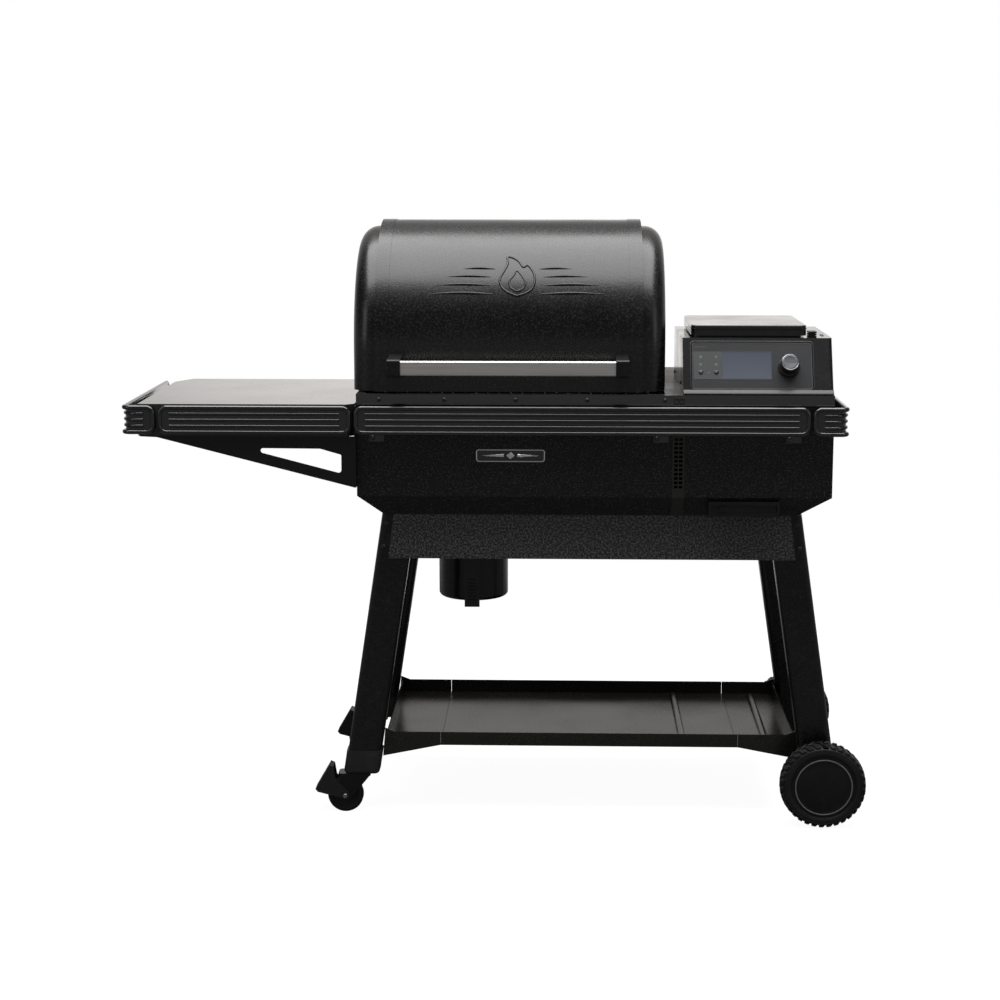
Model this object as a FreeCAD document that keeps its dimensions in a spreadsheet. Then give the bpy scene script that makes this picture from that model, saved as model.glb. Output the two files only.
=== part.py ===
"""Wood-pellet smoker grill on a wheeled cart, as a parametric FreeCAD document.

Frame: millimetres, +X to the right, +Y to the back, +Z up. The origin is on the floor, under the
middle of the whole grill. Each sub-part is one object with its own Label, exported to parts/.
"""
import FreeCAD, Part
import math
import os
import Sketcher
from FreeCAD import Placement, Rotation, Vector

doc = FreeCAD.newDocument("pellet_smoker_grill")
sheet = doc.addObject("Spreadsheet::Sheet", "Dims")


class Size:
    """A length, angle or count: its value now, and the sheet formula that keeps it current."""

    def __init__(self, value, formula):
        self.value = float(value)
        self.formula = formula

    def __add__(self, other):
        return combine(self, "+", other)

    def __radd__(self, other):
        return combine(other, "+", self)

    def __sub__(self, other):
        return combine(self, "-", other)

    def __rsub__(self, other):
        return combine(other, "-", self)

    def __mul__(self, other):
        return combine(self, "*", other)

    def __rmul__(self, other):
        return combine(other, "*", self)

    def __truediv__(self, other):
        return combine(self, "/", other)

    def __neg__(self):
        return combine(0, "-", self)


def as_size(number):
    """A plain number becomes a Size whose formula is the number itself."""
    return number if isinstance(number, Size) else Size(number, f"{float(number):.6f}")


def combine(left, sign, right):
    """The Size of two others joined by + - * or /."""
    left, right = as_size(left), as_size(right)
    results = {"+": lambda a, b: a + b, "-": lambda a, b: a - b,
               "*": lambda a, b: a * b, "/": lambda a, b: a / b}
    return Size(results[sign](left.value, right.value), f"({left.formula} {sign} {right.formula})")


def sine(angle):
    return Size(math.sin(math.radians(angle.value)), f"sin({angle.formula})")


def cosine(angle):
    return Size(math.cos(math.radians(angle.value)), f"cos({angle.formula})")


def tangent(angle):
    return Size(math.tan(math.radians(angle.value)), f"tan({angle.formula})")


def drive(alias, value, note):
    """Puts one driving dimension in the sheet and gives it back as a Size."""
    drive.row += 1
    sheet.set(f"A{drive.row}", note)
    sheet.set(f"B{drive.row}", str(value))
    sheet.setAlias(f"B{drive.row}", alias)
    return Size(value, f"Dims.{alias}")


drive.row = 0

# ---------------------------------------------------------------- driving dimensions
# Cabinet: the body that holds the fire, the cooking chamber and the pellet feed.
cabinet_width = drive("cabinet_width", 948.5, "cabinet, left to right")
cabinet_depth = drive("cabinet_depth", 540, "cabinet, front to back")
cabinet_height = drive("cabinet_height", 247, "cabinet, underside to rim")
underside = drive("underside_height", 635, "floor to the cabinet's underside")
skirt_height = drive("skirt_height", 41.5, "height of the sloping skirt below the walls")
skirt_front = drive("skirt_front", 30, "how far the skirt runs in at the front and back")
skirt_left = drive("skirt_left", 51, "how far the skirt runs in at the left")
skirt_right = drive("skirt_right", 65.5, "how far the skirt runs in at the right")
gauge = drive("gauge", 2, "sheet steel thickness")
plate_gauge = drive("plate_gauge", 3, "bracket plate thickness")
ledge = drive("ledge", 16, "width of the rim that turns in at the top of the cabinet")
band_height = drive("band_height", 21, "front band under the lid")

# Lid
lid_width = drive("lid_width", 626, "lid, left to right")
lid_setback = drive("lid_setback", 15, "lid's front and back, in from the cabinet's front and back")
lid_height = drive("lid_height", 334, "lid, lower edge to crown")
lid_overhang = drive("lid_overhang", 9.5, "how far the lid passes the cabinet's left wall")
lid_gap = drive("lid_gap", 3, "gap between the rim and the lid")
crown_flat = drive("crown_flat", 6, "flat run between the two bends of the lid")
rim_width = drive("rim_width", 25, "band at each end of the lid's skin")
rim_rise = drive("rim_rise", 1.2, "how far that band stands proud of the skin")
end_depth = drive("end_depth", 48, "how far each domed end passes its band")
end_step = drive("end_step", 14, "step down from the band to the domed end")
end_radius = drive("end_radius", 38, "shoulder radius of the domed ends")
handle_length = drive("handle_length", 423, "lid handle bar")
handle_height = drive("handle_height", 29, "lid handle bar, height")
handle_thick = drive("handle_thick", 16, "lid handle bar, thickness")
handle_reach = drive("handle_reach", 62.5, "front of the lid to the front of the handle")
handle_level = drive("handle_level", 38, "lower edge of the lid to the handle bar")
handle_post = drive("handle_post", 26, "width of each handle bracket")

# Rails
rail_height = drive("rail_height", 58, "rails, lower bar to upper bar")
rail_bar = drive("rail_bar", 9, "diameter of a rail's outer loop")
rail_rib = drive("rail_rib", 7, "diameter of a rail's inner bars")
rail_reach = drive("rail_reach", 30, "cabinet's front to the rail's front")
rail_drop = drive("rail_drop", 21, "cabinet rim to the rail's upper bar")
rail_bend = drive("rail_bend", 26, "corner radius of the wrapped rails")
rail_gap = drive("rail_gap", 5, "gap between neighbouring rails")

# Side shelf
shelf_reach = drive("shelf_reach", 466, "cabinet's left wall to the end of the shelf rail")
shelf_depth = drive("shelf_depth", 461, "side shelf, front to back")
shelf_edge = drive("shelf_edge", 64, "height of the shelf's turned-down edge")
end_rail_gap = drive("end_rail_gap", 23, "finger gap inside the shelf's end rail")
shelf_standoff = drive("shelf_standoff", 3.5, "shelf edge to the rail's sheet")

# Hopper and controller
hopper_width = drive("hopper_width", 298, "hopper housing, left to right")
hopper_height = drive("hopper_height", 108.5, "hopper housing, above the cabinet")
hopper_depth = drive("hopper_depth", 332, "hopper housing, front to back")
panel_tilt = drive("panel_tilt", 27, "lean of the control panel, in degrees")
panel_width = drive("panel_width", 238.5, "control panel faceplate")
panel_foot = drive("panel_foot", 13.5, "control panel's lower edge, up the slope from the cabinet")
panel_rise = drive("panel_rise", 99, "control panel faceplate, along its slope")
dial_radius = drive("dial_radius", 21.5, "foot of the control dial")
dial_reach = drive("dial_reach", 30, "faceplate to the dial's cap")
button_radius = drive("button_radius", 4.6, "small round buttons")
hopper_lid_width = drive("hopper_lid_width", 230, "hopper lid, left to right")
hopper_lid_depth = drive("hopper_lid_depth", 262, "hopper lid, front to back")
hopper_lid_thick = drive("hopper_lid_thick", 20.5, "hopper lid, height")

# Cart
leg_width = drive("leg_width", 69, "leg tube, left to right")
leg_depth = drive("leg_depth", 46, "leg tube, front to back")
leg_track = drive("leg_track", 424, "front leg to rear leg, centre to centre")
leg_lean = drive("leg_lean", 8.6, "outward lean of the legs, in degrees")
leg_wall = drive("leg_wall", 2.5, "leg tube wall")
left_foot = drive("left_foot", 136, "floor to the lower end of the left legs")
cap_height = drive("cap_height", 50, "plastic foot on the left legs")
right_foot = drive("right_foot", 60, "floor to the lower end of the right legs")
apron_height = drive("apron_height", 92, "apron beams")
tray_level = drive("tray_level", 145, "floor to the lower shelf's floor")
tray_rim = drive("tray_rim", 26, "height of the lower shelf's rim")
wheel_radius = drive("wheel_radius", 88, "large wheels")
wheel_width = drive("wheel_width", 50, "large wheels")
wheel_track = drive("wheel_track", 562, "front wheel to rear wheel, centre to centre")
axle_inset = drive("axle_inset", 4.5, "cabinet's right wall to the axle")
axle_radius = drive("axle_radius", 6, "axle of the large wheels")
caster_radius = drive("caster_radius", 37, "caster wheels")
caster_width = drive("caster_width", 24, "caster wheels")
caster_trail = drive("caster_trail", 34.5, "caster stem to caster wheel")

# Fire, feed and grease
grate_bar = drive("grate_bar", 6, "diameter of a grate's bars")
grate_pitch = drive("grate_pitch", 24, "spacing of the grate bars")
firepot_radius = drive("firepot_radius", 58, "fire pot")
auger_radius = drive("auger_radius", 24, "outside of the auger's flight")
auger_pitch = drive("auger_pitch", 40, "pitch of the auger's flight")
auger_level = drive("auger_level", 62, "cabinet underside to the auger's centre line")
keg_radius = drive("keg_radius", 73, "grease keg")
keg_height = drive("keg_height", 166, "grease keg")
keg_drop = drive("keg_drop", 40, "cabinet underside to the keg's mouth")

slack = drive("slack", 0.5, "clearance between pieces that move past each other")
running = drive("running", 0.05, "radial clearance of a shaft that turns in its hole")

# ---------------------------------------------------------------- shared places
left = (shelf_reach - cabinet_width - wheel_radius + axle_inset) / 2
right = left + cabinet_width
front = -cabinet_depth / 2
back = cabinet_depth / 2
lid_depth = cabinet_depth - 2 * lid_setback
skirt_top = underside + skirt_height
rim = underside + cabinet_height
lid_left = left - lid_overhang
lid_right = lid_left + lid_width
lid_bottom = rim + lid_gap
crown = lid_bottom + lid_height
hopper_right = right - 0.5
hopper_left = hopper_right - hopper_width
wall_x = lid_right + 14
auger_z = underside + auger_level
pot_x = (lid_left + lid_right) / 2


# ---------------------------------------------------------------- building blocks
def bind(thing, prop, size):
    """Gives a property its value and, where it comes from the sheet, its formula."""
    size = as_size(size)
    if "." not in prop:
        setattr(thing, prop, size.value)
    if "Dims" in size.formula:
        thing.setExpression(prop, size.formula)
    return size.value


def place(thing, x, y, z, rotation=Rotation()):
    """Puts an object at a point whose coordinates may come from the sheet."""
    thing.Placement = Placement(Vector(*[as_size(value).value for value in (x, y, z)]), rotation)
    for axis, value in zip("xyz", (x, y, z)):
        bind(thing, f"Placement.Base.{axis}", value)
    return thing


def box(x, y, z):
    """A block between the pairs of limits x, y and z."""
    block = doc.addObject("Part::Box", "block")
    for prop, (low, high) in zip(("Length", "Width", "Height"), (x, y, z)):
        bind(block, prop, as_size(high) - low)
    return place(block, x[0], y[0], z[0])


AXIS_TURNS = {"X": Rotation(Vector(0, 1, 0), 90), "Y": Rotation(Vector(1, 0, 0), -90), "Z": Rotation()}


def rod(axis, x, y, z, radius):
    """A cylinder along an axis; the coordinate on that axis is a pair of limits."""
    spans = {"X": x, "Y": y, "Z": z}
    low, high = spans[axis]
    bar = doc.addObject("Part::Cylinder", "bar")
    bind(bar, "Radius", radius)
    bind(bar, "Height", as_size(high) - low)
    spans[axis] = low
    return place(bar, spans["X"], spans["Y"], spans["Z"], AXIS_TURNS[axis])


def frustum(low_x, low_y, high_x, high_y, z):
    """A tapered block: one rectangle at the lower level, another at the upper level."""
    block = doc.addObject("Part::Wedge", "taper")
    limits = {"Xmin": low_x[0], "Xmax": low_x[1], "Zmin": -as_size(low_y[1]), "Zmax": -as_size(low_y[0]),
              "X2min": high_x[0], "X2max": high_x[1], "Z2min": -as_size(high_y[1]),
              "Z2max": -as_size(high_y[0]), "Ymin": z[0], "Ymax": z[1]}
    for prop in ("Ymax", "Xmax", "Zmax", "X2max", "Z2max", "Ymin", "Xmin", "Zmin", "X2min", "Z2min"):
        bind(block, prop, limits[prop])
    return place(block, 0, 0, 0, Rotation(Vector(1, 0, 0), 90))


def fuse(*pieces):
    whole = doc.addObject("Part::MultiFuse", "whole")
    whole.Shapes = list(pieces)
    return whole


def cut(base, *tools):
    rest = doc.addObject("Part::Cut", "rest")
    rest.Base = base
    rest.Tool = tools[0] if len(tools) == 1 else fuse(*tools)
    return rest


def group(*pieces):
    """Separate solids that share one sub-part, such as a set of screws."""
    several = doc.addObject("Part::Compound", "several")
    several.Links = list(pieces)
    return several


def round_edges(thing, radius, wanted):
    """Rounds the edges of an object for which wanted(edge) is true."""
    doc.recompute()
    chosen = [index for index, edge in enumerate(thing.Shape.Edges, 1) if wanted(edge)]
    rounded = doc.addObject("Part::Fillet", "rounded")
    rounded.Base = thing
    rounded.Edges = [(index, as_size(radius).value, as_size(radius).value) for index in chosen]
    return rounded


def along(axis):
    """A test for straight edges parallel to an axis."""
    def test(edge):
        run = edge.valueAt(edge.LastParameter) - edge.valueAt(edge.FirstParameter)
        return run.Length > 1e-6 and abs(run.normalize().dot(axis)) > 0.99999
    return test


X_AXIS, Y_AXIS, Z_AXIS = Vector(1, 0, 0), Vector(0, 1, 0), Vector(0, 0, 1)


def at_level(axis, value, tolerance=0.01):
    """A test for edges that lie wholly in one plane across an axis."""
    target = as_size(value).value
    return lambda edge: all(abs(vertex.Point.dot(axis) - target) < tolerance for vertex in edge.Vertexes)


def draw_loop(sketch, corners):
    """Draws a closed outline in a sketch. A corner is (across, up) or (across, up, radius)."""
    corners = [tuple(as_size(value) for value in (*corner, 0)[:3]) for corner in corners]
    points = [Vector(across.value, up.value, 0) for across, up, _ in corners]
    count = len(points)
    starts, ends, arcs = [], [], []
    for index, (point, corner) in enumerate(zip(points, corners)):
        toward_last = (points[index - 1] - point).normalize()
        toward_next = (points[(index + 1) % count] - point).normalize()
        half = toward_last.getAngle(toward_next) / 2
        radius = corner[2].value
        trim = radius / math.tan(half) if radius else 0
        starts.append(point + toward_last * trim)
        ends.append(point + toward_next * trim)
        if not radius:
            arcs.append(None)
            continue
        centre = point + (toward_last + toward_next).normalize() * (radius / math.sin(half))
        left_turn = toward_last.cross(toward_next).z < 0
        first, second = (starts[-1], ends[-1]) if left_turn else (ends[-1], starts[-1])
        angles = [math.atan2(spot.y - centre.y, spot.x - centre.x) for spot in (first, second)]
        arcs.append((Part.ArcOfCircle(Part.Circle(centre, Z_AXIS, radius), *angles), left_turn))
    lines = [sketch.addGeometry(Part.LineSegment(ends[index], starts[(index + 1) % count]), False)
             for index in range(count)]
    for index, corner in enumerate(corners):
        before, after = lines[index - 1], lines[index]
        if arcs[index] is None:
            sketch.addConstraint(Sketcher.Constraint("Coincident", before, 2, after, 1))
            fix_point(sketch, after, 1, corner[0], corner[1])
            continue
        arc, left_turn = arcs[index]
        bend = sketch.addGeometry(arc, False)
        mark = sketch.addGeometry(Part.Point(points[index]), True)
        sketch.addConstraint(Sketcher.Constraint("Tangent", before, 2, bend, 1 if left_turn else 2))
        sketch.addConstraint(Sketcher.Constraint("Tangent", after, 1, bend, 2 if left_turn else 1))
        sketch.addConstraint(Sketcher.Constraint("PointOnObject", mark, 1, before))
        sketch.addConstraint(Sketcher.Constraint("PointOnObject", mark, 1, after))
        measure(sketch, Sketcher.Constraint("Radius", bend, corner[2].value), corner[2])
        fix_point(sketch, mark, 1, corner[0], corner[1])


def measure(sketch, constraint, size):
    """Adds a dimension to a sketch and ties it to the sheet."""
    number = sketch.addConstraint(constraint)
    if "Dims" in size.formula:
        sketch.setExpression(f"Constraints[{number}]", size.formula)


def fix_point(sketch, geometry, end, across, up):
    measure(sketch, Sketcher.Constraint("DistanceX", -1, 1, geometry, end, across.value), across)
    measure(sketch, Sketcher.Constraint("DistanceY", -1, 1, geometry, end, up.value), up)


def plate(plane, span, *loops):
    """A body padded from outlines on a plane of its own; span is its limits across that plane."""
    body = doc.addObject("PartDesign::Body", "plate")
    sketch = body.newObject("Sketcher::SketchObject", "outline")
    features = {feature.Role: feature for feature in body.Origin.OriginFeatures}
    sketch.AttachmentSupport = [(features[f"{plane}_Plane"], "")]
    sketch.MapMode = "FlatFace"
    for corners in loops:
        draw_loop(sketch, corners)
    pad = body.newObject("PartDesign::Pad", "pad")
    pad.Profile = sketch
    bind(pad, "Length", as_size(span[1]) - span[0])
    body.Tip = pad
    offsets = {"XY": (0, 0, span[0]), "XZ": (0, span[1], 0), "YZ": (span[0], 0, 0)}
    return place(body, *offsets[plane])


def rectangle(across, up, radius=0):
    return [(across[0], up[0], radius), (across[1], up[0], radius),
            (across[1], up[1], radius), (across[0], up[1], radius)]


def bent_tube(points, radius, bend, closed=False):
    """A round bar along straight runs joined by tangent bends. It is swept with Part itself,
    because its path turns in more than one plane."""
    points = [Vector(*[as_size(value).value for value in point]) for point in points]
    radius, bend = as_size(radius).value, as_size(bend).value
    count = len(points)
    corners = range(count) if closed else range(1, count - 1)
    trims = {}
    edges = []
    for index in corners:
        point = points[index]
        back_way = (points[index - 1] - point).normalize()
        on_way = (points[(index + 1) % count] - point).normalize()
        half = back_way.getAngle(on_way) / 2
        middle = point + (back_way + on_way).normalize() * (bend / math.sin(half) - bend)
        trims[index] = (point + back_way * bend / math.tan(half), middle,
                        point + on_way * bend / math.tan(half))
    for index in range(count if closed else count - 1):
        follower = (index + 1) % count
        start = trims[index][2] if index in trims else points[index]
        end = trims[follower][0] if follower in trims else points[follower]
        edges.append(Part.LineSegment(start, end).toShape())
        if follower in trims:
            edges.append(Part.Arc(*trims[follower]).toShape())
    path = Part.Wire(edges)
    first = edges[0]
    direction = (first.Vertexes[1].Point - first.Vertexes[0].Point).normalize()
    ring = Part.Wire(Part.makeCircle(radius, first.Vertexes[0].Point, direction))
    tube = doc.addObject("Part::Feature", "bent_bar")
    tube.Shape = path.makePipeShell([ring], True, False)
    return tube


PARTS = []


def name(thing, label):
    """Marks an object as a finished sub-part."""
    thing.Label = label
    PARTS.append(thing)
    return thing


def screws(axis, side, spots, radius=4, height=2.5):
    """Low round screw heads; side is the level they stand on, spots the two other coordinates."""
    heads = []
    for one, two in spots:
        limits = {"X": ((side, side + height), one, two), "Y": (one, (side - height, side), two)}
        heads.append(rod(axis, *limits[axis], radius))
    return heads


# ---------------------------------------------------------------- cabinet
chamber_x = (left + ledge, lid_right - 2)
chamber_y = (front + ledge, back - ledge)
bin_x = (hopper_left + 28, hopper_right - 62)
bin_y = (front + 120, front + 270)
drain = (left + 224.5, -50.0)
vent_x = (wall_x - 1, wall_x + 24)
gate_x = (left + 703, left + 845)


def cabinet_shell():
    """The welded body: four walls, the sloping skirt, the floor and the turned-in rim."""
    low_x = (left + skirt_left, right - skirt_right)
    low_y = (front + skirt_front, back - skirt_front)
    outside = fuse(box((left, right), (front, back), (skirt_top, rim)),
                   frustum(low_x, low_y, (left, right), (front, back), (underside, skirt_top)))
    inner_x, inner_y = (left + gauge, right - gauge), (front + gauge, back - gauge)
    floor_x, floor_y = (low_x[0] + gauge, low_x[1] - gauge), (low_y[0] + gauge, low_y[1] - gauge)
    inside = fuse(box(inner_x, inner_y, (skirt_top, rim - gauge)),
                  frustum(floor_x, floor_y, inner_x, inner_y, (underside + gauge, skirt_top)))
    openings = [box(chamber_x, chamber_y, (rim - 2 * gauge, rim + 1)),
                box(bin_x, bin_y, (rim - 2 * gauge, rim + 1)),
                box((gate_x[0] + 8, gate_x[1] - 40), (front - 1, front + skirt_front + 10),
                    (underside + 8, underside + 32)),
                box((vent_x[0] + 4, vent_x[1] - 4), (front - 1, front + gauge + 1),
                    (skirt_top + 12, rim - 22)),
                rod("Z", *drain, (underside - 1, underside + gauge + 1), 25),
                box((pot_x - 90, pot_x + 90), (back - gauge - 1, back + 1), (rim - 52, rim - 26)),
                rod("Y", right - 60, (back - gauge - 1, back + 1), rim - 60, 14)]
    return cut(outside, inside, *openings)


def bay_divider():
    """The inner wall between the cooking chamber and the pellet feed bay."""
    wall = plate("YZ", (wall_x, wall_x + gauge),
                 [(front + gauge, skirt_top), (front + skirt_front + gauge, underside + gauge),
                  (back - skirt_front - gauge, underside + gauge), (back - gauge, skirt_top),
                  (back - gauge, rim - gauge), (front + gauge, rim - gauge)])
    return cut(wall, rod("X", (wall_x - 1, wall_x + gauge + 1), 0, auger_z, auger_radius + 3),
               rod("X", (wall_x - 1, wall_x + gauge + 1), 120, auger_z + 40, 20))


def vent_strip():
    """Perforated strip that runs down the front and follows the sloping skirt."""
    strip = plate("YZ", vent_x, [(front, rim - band_height), (front - gauge, rim - band_height),
                                 (front - gauge, skirt_top - 0.5),
                                 (front - gauge + skirt_front, underside - 0.5),
                                 (front + skirt_front, underside), (front, skirt_top)])
    rows, pitch, columns = 12, 8.7, 9.4
    middle = (vent_x[0] + vent_x[1]) / 2
    holes = [box((middle + side * columns / 2 - 3.5, middle + side * columns / 2 + 3.5),
                 (front - gauge - 1, front + 1),
                 (skirt_top + 18.5 + row * pitch, skirt_top + 24 + row * pitch))
             for side in (-1, 1) for row in range(rows)]
    return cut(strip, *holes)


def badge_plate():
    """Plain name plate: a raised border around a blank field."""
    x, z = (left + 239, left + 376.6), (rim - 135, rim - 109.5)
    plaque = plate("XZ", (front - 3, front), rectangle(x, z, 7))
    field = plate("XZ", (front - 4, front - 1.8),
                  rectangle((x[0] + 2.5, x[1] - 2.5), (z[0] + 2.5, z[1] - 2.5), 5))
    return cut(plaque, field)


def front_band():
    """Narrow cover under the lid, screwed to the cabinet's front."""
    return box((left, right), (front - gauge, front), (rim - band_height, rim))


name(cabinet_shell(), "cabinet_shell")
name(bay_divider(), "bay_divider")
name(vent_strip(), "vent_strip")
name(badge_plate(), "badge_plate")
name(front_band(), "front_band")

# ---------------------------------------------------------------- rails
rail_top = rim - rail_drop
rail_low = rail_top - rail_height
rail_front = front - rail_reach
loop_y = rail_front + rail_bar / 2
rail_back = loop_y + rail_rib / 2
rib_inset = 19
shelf_left = left - shelf_reach + rail_bar + end_rail_gap
shelf_front = rail_back + shelf_standoff
shelf_back = shelf_front + shelf_depth
shelf_top = rail_top + 2


def rail(*route):
    """A rail along a plan route: a sheet with an outer loop and three inner bars on its front.
    A route is its two ends, or its end, corner and other end."""
    bend = rail_bend
    radius = rail_bar / 2
    low, high = rail_low + radius, rail_top - radius
    loop = [(*spot, low) for spot in route] + [(*spot, high) for spot in reversed(route)]
    pieces = [bent_tube(loop, radius, 13, closed=True)]
    step = (rail_height - rail_bar) / 4
    ends = [shift_toward(route[0], route[1], rib_inset), *route[1:-1],
            shift_toward(route[-1], route[-2], rib_inset)]
    for level in (1, 2, 3):
        pieces.append(bent_tube([(*spot, low + step * level) for spot in ends], rail_rib / 2, bend))
    return pieces, low, high


def shift_toward(start, goal, distance):
    """The point a distance from start on an axis-parallel run to goal."""
    run = [as_size(goal[axis]).value - as_size(start[axis]).value for axis in (0, 1)]
    signs = [0 if abs(value) < 1e-6 else math.copysign(1, value) for value in run]
    return tuple(start[axis] + signs[axis] * as_size(distance) for axis in (0, 1))


def straight_rail(x):
    """A rail across the front, between the limits x."""
    radius = rail_bar / 2
    bars, low, high = rail((x[0] + radius, loop_y), (x[1] - radius, loop_y))
    web = box((x[0] + radius, x[1] - radius), (loop_y, rail_back), (low, high))
    return fuse(web, *bars)


def corner_rail(inner_x, outer_x, end_y):
    """A rail that turns the front corner and runs back along one side."""
    side = 1 if as_size(outer_x).value > as_size(inner_x).value else -1
    radius = rail_bar / 2
    line_x = outer_x - side * radius
    start, corner, end = (inner_x + side * radius, loop_y), (line_x, loop_y), (line_x, end_y)
    bars, low, high = rail(start, corner, end)
    web = plate("XY", (low, high), [
        (*start, 0), (*corner, rail_bend), (*end, 0), (line_x - side * rail_rib / 2, end_y, 0),
        (line_x - side * rail_rib / 2, rail_back, rail_bend - rail_rib / 2), (start[0], rail_back, 0)])
    return fuse(web, *bars)


front_rail_x = (left - 3, left + 900)
name(straight_rail(front_rail_x), "front_rail")
name(straight_rail((left - shelf_reach + 68 + rail_gap, front_rail_x[0] - rail_gap)), "shelf_front_rail")
name(corner_rail(left - shelf_reach + 68, left - shelf_reach, shelf_back - 8), "shelf_end_rail")
name(corner_rail(front_rail_x[1] + rail_gap - 1, right + 28, back - 30), "right_rail")


def rail_standoffs():
    """Small brackets that hold the rails off the cabinet and the shelf, with their screws."""
    pieces = []
    for offset in (41, 607, 870):
        x = left + offset
        foot = box((x - 15, x + 15), (front - gauge, front), (rail_low - 16, rail_low + 20))
        web = box((x - 2, x + 2), (rail_back, front - gauge), (rail_low + 10, rail_low + 20))
        pieces.append(fuse(foot, web, *screws("Y", front - gauge, [(x - 8, rail_low - 8)], 3.6)))
    side_x = right + 28 - rail_bar / 2 - rail_rib / 2
    for y in (front + 60, 0, back - 60):
        pieces.append(box((right, side_x), (y - 10, y + 10), (rail_low + 12, rail_low + 40)))
    for offset in (90, 330):
        x = shelf_left + offset
        pieces.append(box((x - 12, x + 12), (rail_back, shelf_front), (rail_low + 12, rail_low + 40)))
    end_x = left - shelf_reach + rail_bar / 2 + rail_rib / 2
    for y in (shelf_front + 60, shelf_front + 230, shelf_back - 60):
        pieces.append(box((end_x, shelf_left), (y - 12, y + 12), (rail_low + 12, rail_low + 28)))
    return group(*pieces)


name(rail_standoffs(), "rail_standoffs")

# ---------------------------------------------------------------- side shelf
shelf_right = left - plate_gauge
shelf_chamfer = 16


def side_shelf():
    """Folded sheet top with turned-down edges and two cut corners."""
    outline = [(shelf_left, shelf_front, 3), (shelf_right - shelf_chamfer, shelf_front, 2),
               (shelf_right, shelf_front + shelf_chamfer, 2), (shelf_right, shelf_back, 3),
               (shelf_left + 30, shelf_back, 4), (shelf_left, shelf_back - 60, 4)]
    top = plate("XY", (shelf_top - shelf_edge, shelf_top), outline)
    hollow = plate("XY", (shelf_top - shelf_edge - 1, shelf_top - gauge), [
        (shelf_left + gauge, shelf_front + gauge), (shelf_right - shelf_chamfer - gauge / 2, shelf_front + gauge),
        (shelf_right - gauge, shelf_front + shelf_chamfer + gauge / 2), (shelf_right - gauge, shelf_back - gauge),
        (shelf_left + 30 + gauge, shelf_back - gauge), (shelf_left + gauge, shelf_back - 60 - gauge)])
    return cut(top, hollow)


def shelf_bracket(y, flange_way):
    """Gusset plate under the shelf with a triangular window and a flange on the cabinet's side."""
    base = shelf_top - shelf_edge
    tip = shelf_left + 3
    corner_x = shelf_right
    floor = rim - 186
    web = plate("XZ", (y, y + plate_gauge),
                [(tip, base), (tip, base - 1.5), (tip + 34, base - 3), (corner_x, floor),
                 (corner_x, base)],
                [(tip + 206, base - 24, 5), (corner_x - 26, base - 75, 6), (corner_x - 26, base - 37, 3),
                 (corner_x - 68, base - 25, 10)])
    low_y, high_y = (y, y + 110) if flange_way > 0 else (y + plate_gauge - 110, y + plate_gauge)
    flange = box((corner_x, corner_x + plate_gauge), (low_y, high_y), (floor, shelf_top - 4))
    return fuse(web, flange)


name(side_shelf(), "side_shelf")
name(group(shelf_bracket(shelf_front + gauge, 1),
           shelf_bracket(shelf_back - gauge - plate_gauge, -1)), "shelf_brackets")

# ---------------------------------------------------------------- lid
lid_middle = (lid_left + lid_right) / 2
lid_front = -lid_depth / 2
band_left = lid_left + end_depth
band_right = lid_right - end_depth


def arch(inset, reach=0):
    """The lid's outline from the side, a given distance inside its largest size."""
    half, top = lid_depth / 2 - inset, crown - inset
    bend = half - crown_flat / 2
    low = lid_bottom - reach
    return [(-half, low), (half, low), (half, top, bend), (-half, top, bend)]


def lid_skin():
    """The curved sheet between the two banded ends."""
    span = (band_left, band_right)
    skin = plate("YZ", span, arch(rim_rise))
    hollow = plate("YZ", (span[0] - 1, span[1] + 1), arch(rim_rise + gauge, 1))
    return cut(skin, hollow)


def lid_end(inner_x, side):
    """One domed end: the band over the skin, the step, and the dome with its round shoulder."""
    outer_x = inner_x + side * end_depth
    limits = sorted([inner_x, outer_x], key=lambda size: size.value)
    band_limits = sorted([inner_x, inner_x - side * rim_width], key=lambda size: size.value)
    flange_limits = sorted([inner_x, inner_x + side * gauge], key=lambda size: size.value)
    band = cut(plate("YZ", band_limits, arch(0)),
               plate("YZ", (band_limits[0] - 1, band_limits[1] + 1), arch(rim_rise, 1)))
    flange = plate("YZ", flange_limits, arch(0))
    solid = plate("YZ", limits, arch(end_step))
    dome = round_edges(solid, end_radius, shoulder(outer_x))
    inner_limits = (limits[0] - 1, limits[1] - gauge) if side > 0 else (limits[0] + gauge, limits[1] + 1)
    core = plate("YZ", inner_limits, arch(end_step + gauge, 1))
    hollow = round_edges(core, end_radius - gauge, shoulder(outer_x - side * gauge))
    return cut(fuse(band, flange, dome), hollow)


def shoulder(x):
    """The edges round the outer face of a lid end, all but the lower one."""
    level = at_level(X_AXIS, x)
    return lambda edge: level(edge) and not (along(Y_AXIS)(edge) and edge.BoundBox.ZMax < crown.value / 1.2)


handle_x = (lid_middle - handle_length / 2, lid_middle + handle_length / 2)
handle_z = (lid_bottom + handle_level, lid_bottom + handle_level + handle_height)
handle_front = lid_front - handle_reach
skin_front = lid_front + rim_rise


def handle_bar():
    """Stainless bar with rounded long edges."""
    bar = box(handle_x, (handle_front + 2.5, handle_front + 2.5 + handle_thick), handle_z)
    return round_edges(bar, 3.5, along(X_AXIS))


def handle_brackets():
    """The two posts that carry the bar."""
    posts = []
    for inner, side in ((handle_x[0], -1), (handle_x[1], 1)):
        limits = sorted([inner, inner + side * handle_post], key=lambda size: size.value)
        post = plate("YZ", limits, [
            (handle_front, handle_z[0] - 3, 5), (handle_front + 24, handle_z[0] - 3, 8),
            (skin_front, handle_z[0] - 9, 0), (skin_front, handle_z[1] + 9, 0),
            (handle_front + 24, handle_z[1] + 3, 8), (handle_front, handle_z[1] + 3, 5)])
        posts.append(post)
    return group(*posts)


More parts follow.
